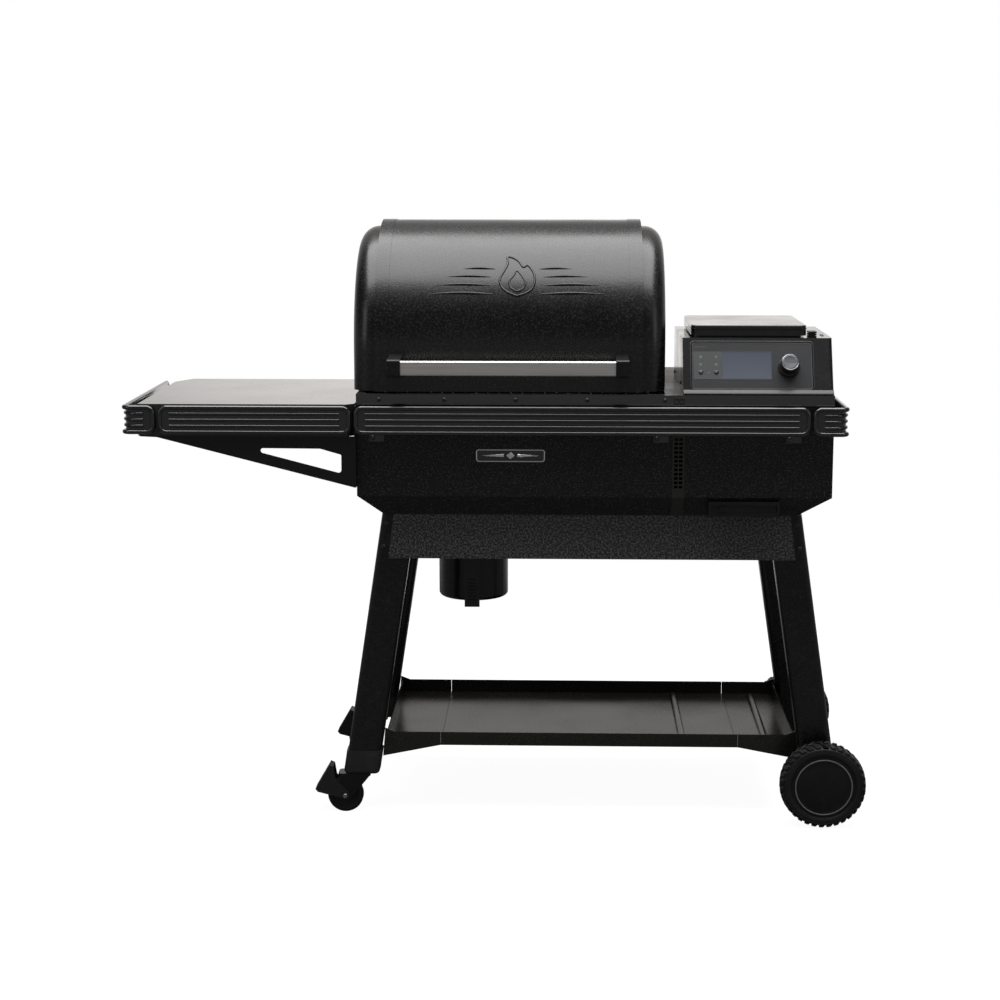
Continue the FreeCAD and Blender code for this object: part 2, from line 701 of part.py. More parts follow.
# The hinge line runs behind the lid, just above the cabinet's rim.
hinge_y = lid_depth / 2 + 9
hinge_z = lid_bottom + 6
knuckle = 7
pin_radius = 3
hinge_half = 26
hinge_spots = (lid_middle - 200, lid_middle + 200)


def hinge_brackets():
    """The cabinet's half of both hinges: leaf, two knuckles and the pin."""
    halves = []
    for x in hinge_spots:
        leaf = box((x - hinge_half, x + hinge_half), (back, back + plate_gauge), (rim - 42, hinge_z))
        knuckles = [rod("X", limits, hinge_y, hinge_z, knuckle)
                    for limits in ((x - hinge_half, x - 10), (x + 10, x + hinge_half))]
        ears = [box(limits, (hinge_y, back + plate_gauge), (hinge_z - knuckle, hinge_z))
                for limits in ((x - hinge_half, x - 10), (x + 10, x + hinge_half))]
        gap = rod("X", (x - 10, x + 10), hinge_y, hinge_z, knuckle + 2 * slack)
        pin = rod("X", (x - hinge_half, x + hinge_half), hinge_y, hinge_z, pin_radius)
        halves.append(fuse(cut(fuse(leaf, *knuckles, *ears), gap), pin))
    return group(*halves)


def lid_hinge_leaves():
    """The lid's half of both hinges: a leaf on the lid's back and one knuckle."""
    leaf_y = (-skin_front, -skin_front + plate_gauge)
    half = 10 - slack
    leaves = []
    for x in hinge_spots:
        leaf = box((x - 20, x + 20), leaf_y, (hinge_z + knuckle + 2, hinge_z + 42))
        neck = box((x - half, x + half), leaf_y, (hinge_z, hinge_z + knuckle + 2))
        barrel = rod("X", (x - half, x + half), hinge_y, hinge_z, knuckle)
        arm = box((x - half, x + half), (leaf_y[0], hinge_y), (hinge_z - 2, hinge_z + knuckle))
        bore = rod("X", (x - 11, x + 11), hinge_y, hinge_z, pin_radius + running)
        leaves.append(cut(fuse(leaf, neck, barrel, arm), bore))
    return group(*leaves)


name(lid_skin(), "lid_skin")
name(group(lid_end(band_left, -1), lid_end(band_right, 1)), "lid_end_caps")
name(handle_bar(), "lid_handle_bar")
name(handle_brackets(), "lid_handle_brackets")
name(hinge_brackets(), "hinge_brackets")
name(lid_hinge_leaves(), "lid_hinge_leaves")

# ---------------------------------------------------------------- hopper, lid and control panel
house_back = front + 4 + hopper_depth
house_front = front + 4
house_top = rim + hopper_height
slope_length = hopper_height / cosine(panel_tilt)
top_front = house_front + hopper_height * tangent(panel_tilt)
panel_x = (hopper_left + 18, hopper_left + 18 + panel_width)
panel_z = (panel_foot, panel_foot + panel_rise)
dial_at = (panel_x[1] - 46.5, panel_z[0] + 47)
button_spots = ((panel_x[0] + 17.5, panel_z[0] + 35), (panel_x[0] + 48, panel_z[0] + 35))
neck_x = (hopper_left + 18, hopper_left + 18 + hopper_lid_width)
neck_y = (top_front + 4, top_front + 4 + hopper_lid_depth)


def lean(thing):
    """Tips an object built upright, with its front at y = 0, onto the panel's slope."""
    thing = group(thing)
    thing.Placement = Placement(Vector(0, house_front.value, rim.value),
                                Rotation(-X_AXIS, panel_tilt.value))
    bind(thing, "Placement.Base.y", house_front)
    bind(thing, "Placement.Base.z", rim)
    bind(thing, "Placement.Rotation.Angle", panel_tilt)
    return thing


def hopper_housing():
    """Folded cover over the hopper and the controller, with a sloping front and rounded corners."""
    profile = [(house_front, rim), (house_back, rim), (house_back, house_top), (top_front, house_top)]
    solid = round_edges(plate("YZ", (hopper_left, hopper_right), profile), 9,
                        lambda edge: at_level(X_AXIS, hopper_right)(edge)
                        and edge.BoundBox.YMax < top_front.value + 1 and edge.BoundBox.ZLength > 20)
    inner = plate("YZ", (hopper_left + gauge, hopper_right - gauge), [
        (house_front + gauge * 1.12, rim - 1), (house_back - gauge, rim - 1),
        (house_back - gauge, house_top - gauge), (top_front + gauge * 0.62, house_top - gauge)])
    window = lean(box((panel_x[0] - 2, panel_x[1] + 2), (-6, 12), (panel_z[0] - 2, panel_z[1] + 2)))
    mouth = box((neck_x[0] + 14, neck_x[1] - 14), (neck_y[0] + 90, neck_y[1] - 14),
                (house_top - 2 * gauge, house_top + 1))
    return cut(solid, inner, window, mouth)


def control_panel():
    """The faceplate: a shallow moulded tray with holes for the dial and two buttons."""
    face = plate("XZ", (0, 10), rectangle(panel_x, panel_z, 6))
    glass = box((panel_x[0] + 60, panel_x[0] + 157), (-1, 1.2), (panel_z[0] + 21, panel_z[0] + 80))
    dial_hole = rod("Y", dial_at[0], (-1, 11), dial_at[1], 4.5)
    holes = [rod("Y", spot[0], (-1, 11), spot[1], button_radius + slack) for spot in button_spots]
    return lean(cut(face, glass, dial_hole, *holes))


def display_glass():
    """The display window set in the faceplate."""
    return lean(box((panel_x[0] + 60, panel_x[0] + 157), (0, 1.2), (panel_z[0] + 21, panel_z[0] + 80)))


def dial_shaft():
    """Encoder shaft that the dial turns on; it goes in when the dial is pressed."""
    return lean(rod("Y", dial_at[0], (-dial_reach + 6, 18), dial_at[1], 3))


def dial_knob():
    """Control dial: a wide foot, a tapered grip and a round cap, bored for its shaft."""
    foot = rod("Y", dial_at[0], (-8, -2), dial_at[1], dial_radius)
    grip = rod("Y", dial_at[0], (-dial_reach, -8), dial_at[1], dial_radius - 4.5)
    bore = rod("Y", dial_at[0], (-dial_reach + 6, -1), dial_at[1], 3 + running)
    return lean(cut(fuse(foot, grip), bore))


def panel_button(spot):
    """A small round push button with a collar behind the faceplate."""
    stem = rod("Y", spot[0], (-1.6, 11), spot[1], button_radius)
    collar = rod("Y", spot[0], (11.4, 13), spot[1], button_radius + 1.6)
    return lean(fuse(stem, rod("Y", spot[0], (11, 12), spot[1], button_radius), collar))


hopper_hinge = (neck_y[1] + 7, house_top + 9)


def hopper_lid():
    """Shallow pressed lid with rounded corners, hollow below, with one hinge knuckle each side."""
    bottom = house_top + 4
    top = bottom + hopper_lid_thick
    shell = cut(plate("XY", (bottom, top), rectangle(neck_x, neck_y, 16)),
                plate("XY", (bottom - 1, top - plate_gauge),
                      rectangle((neck_x[0] + 3, neck_x[1] - 3), (neck_y[0] + 3, neck_y[1] - 3), 13)))
    shell = round_edges(shell, 2.4, at_level(Z_AXIS, top))
    y, z = hopper_hinge
    lugs = []
    for x in (neck_x[0] + 40, neck_x[1] - 40):
        span = (x - 12, x + 12)
        lugs += [rod("X", span, y, z, 4.5), box(span, (neck_y[1] - 1, y), (z - 2, z + 4))]
    bores = [rod("X", (x - 13, x + 13), y, z, 2 + running) for x in (neck_x[0] + 40, neck_x[1] - 40)]
    return cut(fuse(shell, *lugs), *bores)


def hopper_catch():
    """Neck round the hopper's mouth, the lid's two hinge pins in their ears, and the side catch."""
    rim_z = (house_top, house_top + 10)
    outer_x, outer_y = (neck_x[0] + 10, neck_x[1] - 10), (neck_y[0] + 10, neck_y[1] - 10)
    neck = cut(plate("XY", rim_z, rectangle(outer_x, outer_y, 6)),
               plate("XY", (rim_z[0] - 1, rim_z[1] + 1),
                     rectangle((outer_x[0] + 3, outer_x[1] - 3), (outer_y[0] + 3, outer_y[1] - 3), 4)))
    y, z = hopper_hinge
    pieces = [neck]
    for x in (neck_x[0] + 40, neck_x[1] - 40):
        pin = rod("X", (x - 18, x + 18), y, z, 2)
        ears = [box(span, (y - 4, y + 4), (house_top, z + 4)) for span in ((x - 18, x - 13), (x + 13, x + 18))]
        pieces.append(fuse(pin, *ears))
    x = neck_x[1] + 12
    ribs = [box((x - 8, x + 8), (neck_y[0] + 4, neck_y[0] + 34), (house_top + level, house_top + level + 3))
            for level in (0, 4.5, 9)]
    core = box((x - 5, x + 5), (neck_y[0] + 7, neck_y[0] + 31), (house_top, house_top + 12))
    pieces.append(fuse(core, *ribs))
    return group(*pieces)


name(hopper_housing(), "hopper_housing")
name(control_panel(), "control_panel")
name(display_glass(), "display_glass")
name(dial_shaft(), "dial_shaft")
name(dial_knob(), "dial_knob")
name(panel_button(button_spots[0]), "left_button")
name(panel_button(button_spots[1]), "right_button")
name(hopper_lid(), "hopper_lid")
name(hopper_catch(), "hopper_catch")

# ---------------------------------------------------------------- cleanout gate
gate_z = (underside + 4, underside + 33)
gate_y = front - 3.5
gate_travel = drive("gate_travel", 45, "travel of the pellet cleanout gate")


def cleanout_frame():
    """Boxed chute mouth on the sloping skirt, with a slot for the gate."""
    x = gate_x
    slope = [front + skirt_front * (skirt_top - level) / skirt_height for level in gate_z]
    body = plate("YZ", x, [(gate_y, gate_z[0]), (slope[0], gate_z[0]),
                           (slope[1], gate_z[1]), (gate_y, gate_z[1])])
    throat = box((x[0] + 12, x[1] - 44), (gate_y - 1, front + skirt_front + 12), (gate_z[0] + 6, gate_z[1] - 6))
    slot = box((x[0] + 3, x[1] + 1), (gate_y + 2, gate_y + 5), (gate_z[0] + 2.5, gate_z[1] - 2.5))
    track = box((x[0] + 6, x[1] - 5), (gate_y - 1, gate_y + 3), (gate_z[0] + 8, gate_z[1] - 8))
    return cut(body, throat, slot, track)


def cleanout_slide():
    """Flat gate that slides to the right, with the thumb screw that pulls it."""
    gate = box((gate_x[0] + 4, gate_x[1] - 4 - gate_travel + 42),
               (gate_y + 2.4, gate_y + 4.6), (gate_z[0] + 3, gate_z[1] - 3))
    screw = rod("Y", gate_x[0] + 26, (gate_y - 7, gate_y + 3), (gate_z[0] + gate_z[1]) / 2, 4.2)
    return fuse(gate, screw)


name(cleanout_frame(), "cleanout_frame")
name(cleanout_slide(), "cleanout_slide")

# ---------------------------------------------------------------- pellet feed and fire
motor_x = hopper_right - 122
tube_x = (pot_x + firepot_radius + 1, motor_x)
tube_outer = auger_radius + 2.5
bay_floor = underside + gauge


def hopper_bin():
    """Funnel that narrows from the hopper's mouth to the auger."""
    top_z, neck_z, low_z = rim - gauge - 1, auger_z + 60, auger_z + tube_outer + 1
    top_x, top_y = (bin_x[0] - 8, bin_x[1] + 8), (bin_y[0] - 8, bin_y[1] + 8)
    low_x, low_y = (bin_x[0] + 20, bin_x[0] + 120), (-18, 18)
    skin = fuse(frustum(low_x, low_y, top_x, top_y, (neck_z, top_z)), box(low_x, low_y, (low_z, neck_z)))
    inner = [(low_x[0] + gauge, low_x[1] - gauge), (low_y[0] + gauge, low_y[1] - gauge),
             (top_x[0] + gauge, top_x[1] - gauge), (top_y[0] + gauge, top_y[1] - gauge)]
    hollow = fuse(frustum(*inner, (neck_z, top_z)), box(inner[0], inner[1], (low_z - 1, neck_z)),
                  box(inner[2], inner[3], (top_z, top_z + 1)))
    return cut(skin, hollow)


def auger_tube():
    """The feed tube from the hopper to the fire pot, open on top under the funnel."""
    tube = cut(rod("X", tube_x, 0, auger_z, tube_outer), rod("X", (tube_x[0] - 1, tube_x[1] + 1), 0, auger_z,
                                                            auger_radius + 1))
    mouth = box((bin_x[0] + 22, bin_x[0] + 118), (-16, 16), (auger_z, auger_z + tube_outer + 5))
    collar = cut(rod("X", (motor_x - 6, motor_x), 0, auger_z, tube_outer + 12),
                 rod("X", (motor_x - 7, motor_x + 1), 0, auger_z, auger_radius + 1))
    return cut(fuse(tube, collar), mouth)


def auger_screw():
    """The auger: a shaft with a helical flight. The flight is swept with Part along a helix."""
    span = (tube_x[0] + 4, motor_x + 30)
    shaft = rod("X", span, 0, auger_z, 8)
    pitch, turns_length = auger_pitch.value, (tube_x[1] - tube_x[0]).value - 24
    helix = Part.makeHelix(pitch, turns_length, auger_radius.value - 9)
    profile = Part.makePolygon([Vector(6.5, 0, -1.5), Vector(auger_radius.value, 0, -1.5),
                                Vector(auger_radius.value, 0, 1.5), Vector(6.5, 0, 1.5), Vector(6.5, 0, -1.5)])
    flight = doc.addObject("Part::Feature", "flight")
    sweep = Part.BRepOffsetAPI.MakePipeShell(Part.Wire(helix))
    sweep.setFrenetMode(True)
    sweep.add(profile)
    sweep.build()
    sweep.makeSolid()
    flight.Shape = sweep.shape()
    place(flight, tube_x[0] + 8, 0, auger_z, AXIS_TURNS["X"])
    return fuse(shaft, flight)


def auger_motor():
    """Gear motor that turns the auger: gearbox with a bore for the shaft, and the motor can."""
    gearbox = box((motor_x, motor_x + 46), (-38, 38), (auger_z - 34, auger_z + 34))
    can = rod("X", (motor_x + 46, motor_x + 86), 0, auger_z, 30)
    bore = rod("X", (motor_x - 1, motor_x + 32), 0, auger_z, 8 + running)
    return cut(fuse(gearbox, can), bore)


pot_top = auger_z + 52


def fire_pot():
    """Cast cup where the pellets burn, with air holes and an opening for the auger."""
    low = bay_floor
    cup = cut(rod("Z", pot_x, 0, (low, pot_top), firepot_radius),
              rod("Z", pot_x, 0, (low + 8, pot_top + 1), firepot_radius - 5))
    inlet = rod("X", (pot_x, pot_x + firepot_radius + 2), 0, auger_z, auger_radius + 2)
    ports = [rod(axis, *spot, 4) for axis, spot in
             (("Y", (pot_x - 24, (-firepot_radius - 1, firepot_radius + 1), low + 24)),
              ("Y", (pot_x, (-firepot_radius - 1, firepot_radius + 1), low + 24)),
              ("Y", (pot_x + 24, (-firepot_radius - 1, firepot_radius + 1), low + 24)))]
    rod_hole = rod("X", (pot_x - firepot_radius - 1, pot_x), 0, low + 20, 5.2)
    return cut(cup, inlet, *ports, rod_hole)


def igniter_rod():
    """Hot rod that lights the pellets, in its socket on the cabinet's floor."""
    stick = rod("X", (pot_x - firepot_radius - 60, pot_x - firepot_radius + 16), 0, bay_floor + 20, 5)
    foot = box((pot_x - firepot_radius - 50, pot_x - firepot_radius - 34), (-9, 9), (bay_floor, bay_floor + 28))
    return fuse(stick, foot)


fan_at = (wall_x + 90, auger_z + 40)
fan_y = (120, 166)


def fan_housing():
    """Blower case with a side duct that feeds air to the fire."""
    case = cut(rod("Y", fan_at[0], fan_y, fan_at[1], 52), rod("Y", fan_at[0], (fan_y[0] + 2, fan_y[1] - 2),
                                                             fan_at[1], 50))
    eye = rod("Y", fan_at[0], (fan_y[1] - 3, fan_y[1] + 1), fan_at[1], 26)
    bearing = rod("Y", fan_at[0], (fan_y[0] - 1, fan_y[0] + 3), fan_at[1], 3 + running)
    duct_x = (wall_x + gauge + 0.5, fan_at[0] - 48.5)
    duct = cut(rod("X", duct_x, 143, fan_at[1], 18), rod("X", (duct_x[0] - 1, duct_x[1] + 1), 143, fan_at[1], 16))
    port = rod("X", (duct_x[1] - 4, fan_at[0] - 20), 143, fan_at[1], 16)
    foot = box((fan_at[0] - 30, fan_at[0] + 30), (fan_y[0] + 4, fan_y[1] - 4), (bay_floor, fan_at[1] - 49))
    foot = cut(foot, rod("Y", fan_at[0], (fan_y[0], fan_y[1]), fan_at[1], 51))
    return fuse(cut(case, eye, bearing, port), duct, foot)


def fan_rotor():
    """Impeller: hub, back disc, flat blades and the shaft that runs in the case."""
    low, high = fan_y[0] + 5, fan_y[1] - 6
    hub = rod("Y", fan_at[0], (low, high), fan_at[1], 10)
    disc = rod("Y", fan_at[0], (low, low + 2), fan_at[1], 46)
    shaft = rod("Y", fan_at[0], (fan_y[0] - 6, low), fan_at[1], 3)
    blades = []
    for number in range(8):
        blade = box((-1, 1), (low, high), (8, 44))
        holder = fuse(blade, box((-1, 1), (low, low + 1), (8, 9)))
        place(holder, fan_at[0], 0, fan_at[1], Rotation(Y_AXIS, number * 45))
        blades.append(holder)
    return fuse(hub, disc, shaft, *blades)


name(hopper_bin(), "hopper_bin")
name(auger_tube(), "auger_tube")
name(auger_screw(), "auger_screw")
name(auger_motor(), "auger_motor")
name(fire_pot(), "fire_pot")
name(fan_housing(), "fan_housing")
name(fan_rotor(), "fan_rotor")

# ---------------------------------------------------------------- cooking chamber
chamber_in_x = (left + gauge + 4, wall_x - 4)
shield_z = pot_top + 18
tray_z = shield_z + 26
grate_z = rim - 22
upper_z = lid_bottom + 76


def heat_shield():
    """Folded baffle over the fire pot, on four legs."""
    top = box((pot_x - 120, pot_x + 120), (-130, 130), (shield_z, shield_z + plate_gauge))
    edges = [box((pot_x + side * 118.5 - 1.5, pot_x + side * 118.5 + 1.5), (-130, 130),
                 (shield_z - 14, shield_z)) for side in (-1, 1)]
    legs = [box((pot_x + x - 6, pot_x + x + 6), (y - 1.5, y + 1.5), (bay_floor, shield_z))
            for x in (-100, 100) for y in (-110, 110)]
    return fuse(top, *edges, *legs)


def drip_tray():
    """Wide tray that catches fat and drains to the left, over the keg's pipe."""
    x, y = (chamber_in_x[0] + 20, chamber_in_x[1] - 20), (chamber_y[0] + 12, chamber_y[1] - 12)
    tray = cut(box(x, y, (tray_z, tray_z + 20)),
               box((x[0] + gauge, x[1] - gauge), (y[0] + gauge, y[1] - gauge), (tray_z + gauge, tray_z + 21)))
    outlet = rod("Z", *drain, (tray_z - 1, tray_z + gauge + 1), 12)
    feet = [box((x[end] - 6 + shift, x[end] + 6 + shift), (spot - 6, spot + 6), (shield_z - 62, tray_z))
            for end, shift in ((0, 12), (1, -12)) for spot in (y[0] + 10, y[1] - 10)]
    return fuse(cut(tray, outlet), *feet)


def grate(x, y, z, legs, bars_along_y=True):
    """A wire grate: a frame, cross bars and parallel rods welded on top."""
    radius = grate_bar / 2
    frame = [rod("X", x, spot, z, radius) for spot in (y[0] + radius, y[1] - radius)]
    frame += [rod("Y", spot, y, z, radius) for spot in (x[0] + radius, x[1] - radius)]
    length = as_size(x[1] - x[0]).value - grate_bar.value
    count = round(length / grate_pitch.value)
    step = (x[1] - x[0] - grate_bar) / count
    rods = [rod("Y", x[0] + radius + step * number, y, z + radius, radius / 1.6) for number in range(1, count)]
    middle = [rod("X", x, (y[0] + y[1]) / 2, z, radius)]
    posts = [rod("Z", *spot, (legs, z), radius) for spot in
             ((x[0] + radius, y[0] + radius), (x[0] + radius, y[1] - radius),
              (x[1] - radius, y[0] + radius), (x[1] - radius, y[1] - radius))]
    return fuse(*frame, *rods, *middle, *posts)


grate_x = (lid_left + 24, lid_right - 24)
grate_y = (chamber_y[0] + 14, chamber_y[1] - 14)


def temperature_probe():
    """Thin probe that reads the chamber's heat, in a block on the divider."""
    stick = rod("X", (wall_x - 26, wall_x), 190, rim - 60, 3)
    block = box((wall_x - 6, wall_x), (182, 198), (rim - 68, rim - 52))
    return fuse(stick, block)


name(heat_shield(), "heat_shield")
name(drip_tray(), "drip_tray")
name(grate(grate_x, grate_y, grate_z, tray_z + 40), "main_grate")
name(grate((grate_x[0] + 16, grate_x[1] - 16), (grate_y[0] + 110, grate_y[1] - 20), upper_z,
           grate_z + 5), "upper_grate")
name(group(igniter_rod(), temperature_probe()), "igniter_and_probe")

# ---------------------------------------------------------------- grease keg
keg_x, keg_y = drain
keg_top = underside - keg_drop
keg_bottom = keg_top - keg_height


def keg_collar():
    """Drain pipe and the hanger under the cabinet that the keg's lugs rest on."""
    pipe = cut(rod("Z", keg_x, keg_y, (underside - 20, shield_z - 6), 9),
               rod("Z", keg_x, keg_y, (underside - 21, shield_z - 5), 7))
    flange = cut(rod("Z", keg_x, keg_y, (underside - gauge, underside), 34),
                 rod("Z", keg_x, keg_y, (underside - gauge - 1, underside + 1), 9))
    cover = cut(rod("Z", keg_x, keg_y, (keg_top + 1, keg_top + 4), keg_radius + 3),
                rod("Z", keg_x, keg_y, (keg_top, keg_top + 5), 11))
    straps = [box((keg_x + side * 60 - 10, keg_x + side * 60 + 10), (keg_y - 12, keg_y + 12),
                  (keg_top + 4, underside)) for side in (-1, 1)]
    return fuse(pipe, flange, cover, *straps)


def grease_keg():
    """Round bucket with a rolled rim."""
    outer = round_edges(rod("Z", keg_x, keg_y, (keg_bottom, keg_top), keg_radius), 9,
                        at_level(Z_AXIS, keg_bottom))
    inner = round_edges(rod("Z", keg_x, keg_y, (keg_bottom + gauge, keg_top + 1), keg_radius - gauge), 7,
                        at_level(Z_AXIS, keg_bottom + gauge))
    return cut(outer, inner)


def keg_latch():
    """Latch that hangs in front of the keg and holds it up: a grip on a cross pin."""
    y = keg_y - keg_radius - 8
    x = (keg_x - 15.5, keg_x + 15.5)
    top = keg_top + 14
    grip = plate("YZ", x, [(y - 6, keg_bottom - 10, 5), (y + 3, keg_bottom - 10, 3), (y + 3, top, 0),
                           (y - 6, top, 0)])
    eye = rod("X", x, y - 1.5, top, 7)
    bore = rod("X", (x[0] - 1, x[1] + 1), y - 1.5, top, 2.5 + running)
    return cut(fuse(grip, eye), bore)


def latch_hanger():
    """The pin and the two ears that the latch turns on."""
    y = keg_y - keg_radius - 9.5
    x = (keg_x - 15.5, keg_x + 15.5)
    top = keg_top + 14
    pin = rod("X", (x[0] - 5, x[1] + 5), y, top, 2.5)
    ears = [box(span, (y - 5, y + 5), (top - 6, underside))
            for span in ((x[0] - 5, x[0] - 1), (x[1] + 1, x[1] + 5))]
    return fuse(pin, *ears)


name(group(keg_collar(), latch_hanger()), "keg_collar")
name(grease_keg(), "grease_keg")
name(keg_latch(), "keg_latch")

# ---------------------------------------------------------------- cart
lean_slope = tangent(leg_lean)
left_leg_top = (left + 46.5, left + 46.5 + leg_width)
right_leg_top = (right - 53.5 - leg_width, right - 53.5)
leg_y = leg_track / 2


def leg_shift(level):
    """How far a leg has moved outward at a height, from its top."""
    return (underside - level) * lean_slope


def leg(top_x, side, y, foot):
    """A rounded tube that leans outward."""
    shift = side * leg_shift(foot)

    def body(inset, reach):
        drift = side * reach * lean_slope
        low, high = foot - reach, underside + reach
        return plate("XZ", (y - leg_depth / 2 + inset, y + leg_depth / 2 - inset), [
            (top_x[0] + inset + shift + drift, low), (top_x[1] - inset + shift + drift, low),
            (top_x[1] - inset - drift, high), (top_x[0] + inset - drift, high)])

    slant = Vector(side * lean_slope.value, 0, -1).normalize()
    return cut(round_edges(body(0, 0), 13, along(slant)), round_edges(body(leg_wall, 2), 10.5, along(slant)))


def leg_span(top_x, side, level):
    """The limits of a leg across the cart at a height."""
    return tuple(limit + side * leg_shift(level) for limit in top_x)


axle_at = (right - axle_inset, wheel_radius)


def wheel_plates():
    """Plates welded to the right legs that carry the axle outside the tubes."""
    pieces = []
    for way in (-1, 1):
        y = sorted([way * (leg_y + leg_depth / 2), way * (leg_y + leg_depth / 2 + plate_gauge)],
                   key=lambda size: size.value)
        x = leg_span(right_leg_top, 1, wheel_radius)
        body = plate("XZ", y, [(x[0] + 8, right_foot), (axle_at[0] + 16, right_foot + 6, 8),
                               (axle_at[0] + 16, wheel_radius + 22, 8), (x[0] + 2, wheel_radius + 60)])
        pieces.append(cut(body, rod("Y", axle_at[0], (y[0] - 1, y[1] + 1), axle_at[1], axle_radius + 0.2)))
    return pieces


apron_z = (underside - apron_height, underside)


def frame_aprons():
    """Folded beams under the cabinet: between the legs, across their faces, and an end plate each side."""
    pieces = []
    beam_y = leg_y + leg_depth / 2
    for way in (-1, 1):
        y = sorted([way * beam_y, way * (beam_y - 20)], key=lambda size: size.value)
        low, high = apron_z
        spans = [leg_span(left_leg_top, -1, level)[1] for level in (low, high)]
        ends = [leg_span(right_leg_top, 1, level)[0] for level in (low, high)]
        beam = plate("XZ", y, [(spans[0] + 0.5, low), (ends[0] - 0.5, low), (ends[1] - 0.5, high),
                               (spans[1] + 0.5, high)])
        core_y = (y[0] + gauge, y[1] + 1) if way < 0 else (y[0] - 1, y[1] - gauge)
        core = plate("XZ", core_y, [(spans[0], low + gauge), (ends[0], low + gauge),
                                    (ends[1], high - gauge), (spans[1], high - gauge)])
        pieces.append(cut(beam, core))
        cap_y = sorted([way * beam_y, way * (beam_y + gauge)], key=lambda size: size.value)
        pieces.append(plate("XZ", cap_y, [
            (leg_span(left_leg_top, -1, low)[0] + 26, low), (leg_span(right_leg_top, 1, low)[1] - 26, low),
            (leg_span(right_leg_top, 1, high)[1] - 24, high), (leg_span(left_leg_top, -1, high)[0] + 24, high)]))
    inner = leg_track / 2 - leg_depth / 2 - 0.5
    for side, top_x in ((-1, left_leg_top), (1, right_leg_top)):
        x = sorted([leg_span(top_x, side, apron_z[1])[0] + 30, leg_span(top_x, side, apron_z[1])[0] + 33],
                   key=lambda size: size.value)
        pieces.append(box(x, (-inner, inner), apron_z))
    return group(*pieces)


right_pair = [cut(leg(right_leg_top, 1, way * leg_y, right_foot),
                  rod("Y", axle_at[0], (-leg_track, leg_track), axle_at[1], axle_radius + 0.2)) for way in (-1, 1)]
name(group(*[leg(left_leg_top, -1, way * leg_y, left_foot) for way in (-1, 1)]), "left_legs")
name(group(*right_pair, *wheel_plates()), "right_legs")
name(frame_aprons(), "frame_aprons")

# ---------------------------------------------------------------- lower shelf
tray_top = tray_level + tray_rim
tray_y = (-leg_y, leg_y)
tray_seams = (left + 162, right - 172)


def lower_shelf():
    """Pressed tray between the legs: floor, rims, and an end piece at each side."""
    def pan(x, seam_gap=0.4):
        outer = box((x[0] + seam_gap, x[1] - seam_gap), tray_y, (tray_level - gauge, tray_top))
        inner = box((x[0] - 1, x[1] + 1), (tray_y[0] + gauge, tray_y[1] - gauge), (tray_level, tray_top + 1))
        return cut(outer, inner)

    pieces = [pan(tray_seams)]
    leg_gap = 0.5
    for seam, top_x, side, low_gap in ((tray_seams[0], left_leg_top, -1, 4.4),
                                       (tray_seams[1], right_leg_top, 1, leg_gap)):
        inner_edge = leg_span(top_x, side, tray_top)[0 if side > 0 else 1] - side * leg_gap
        low_edge = leg_span(top_x, side, tray_level - 26)[0 if side > 0 else 1] - side * low_gap
        high_edge = leg_span(top_x, side, tray_top + 8)[0 if side > 0 else 1] - side * leg_gap
        start = seam + side * 0.4
        flange = [plate("XZ", limits, [(start, tray_level - gauge), (low_edge, tray_level - 26),
                                       (high_edge, tray_top + 8), (inner_edge - side * 22, tray_top),
                                       (start, tray_top)])
                  for limits in ((tray_y[0], tray_y[0] + gauge), (tray_y[1] - gauge, tray_y[1]))]
        limits = sorted([start, inner_edge - side * 6], key=lambda size: size.value)
        floor = box(limits, (tray_y[0] + gauge, tray_y[1] - gauge), (tray_level - gauge, tray_level))
        wall_limits = sorted([inner_edge - side * 6, inner_edge - side * (6 - gauge)],
                             key=lambda size: size.value)
        wall = box(wall_limits, (tray_y[0] + gauge, tray_y[1] - gauge), (tray_level - gauge, tray_top))
        pieces.append(fuse(*flange, floor, wall))
    return group(*pieces)


def shelf_channels():
    """Two half-round guides that run front to back on the shelf's floor."""
    pieces = []
    for x in (right - 283.5, right - 110.5):
        span = (tray_y[0] + 30, tray_y[1] - 30)
        ring = cut(rod("Y", x, span, tray_level, 8), rod("Y", x, (span[0] - 1, span[1] + 1), tray_level, 6))
        pieces.append(cut(ring, box((x - 9, x + 9), (span[0] - 1, span[1] + 1), (tray_level - 10, tray_level))))
    return pieces


name(group(lower_shelf(), *shelf_channels()), "lower_shelf")

# ---------------------------------------------------------------- wheels and axle
hub_bore = axle_radius + running


def big_wheel(way):
    """Moulded wheel: a treaded tyre, a dished disc and the hub."""
    middle = way * wheel_track / 2
    span = (middle - wheel_width / 2, middle + wheel_width / 2)
    x, z = axle_at
    tyre = round_edges(rod("Y", x, span, z, wheel_radius - 4), 7,
                       lambda edge: edge.Length > 2 * wheel_radius.value)
    treads = []
    for number in range(24):
        for row, turn in ((-1, 0), (1, 7.5)):
            low = middle + row * wheel_width / 4 - 9
            block = box((-8, 8), (low, low + 18), (wheel_radius - 6, wheel_radius - 0.4))
            spun = group(block)
            place(spun, x, 0, z, Rotation(Y_AXIS, number * 15 + turn))
            treads.append(spun)
    outside = span[0] if way < 0 else span[1]
    recess = rod("Y", x, sorted([outside - way * 5, outside + way], key=lambda size: as_size(size).value), z,
                 wheel_radius - 20)
    back_face = span[1] if way < 0 else span[0]
    hollow = rod("Y", x, sorted([back_face + way * 30, back_face - way], key=lambda size: as_size(size).value),
                 z, wheel_radius - 18)
    hub = rod("Y", x, (span[0] + 6, span[1] - 6), z, 16)
    return cut(fuse(cut(fuse(tyre, *treads), recess, hollow), hub),
               rod("Y", x, (span[0] - 1, span[1] + 1), z, hub_bore))


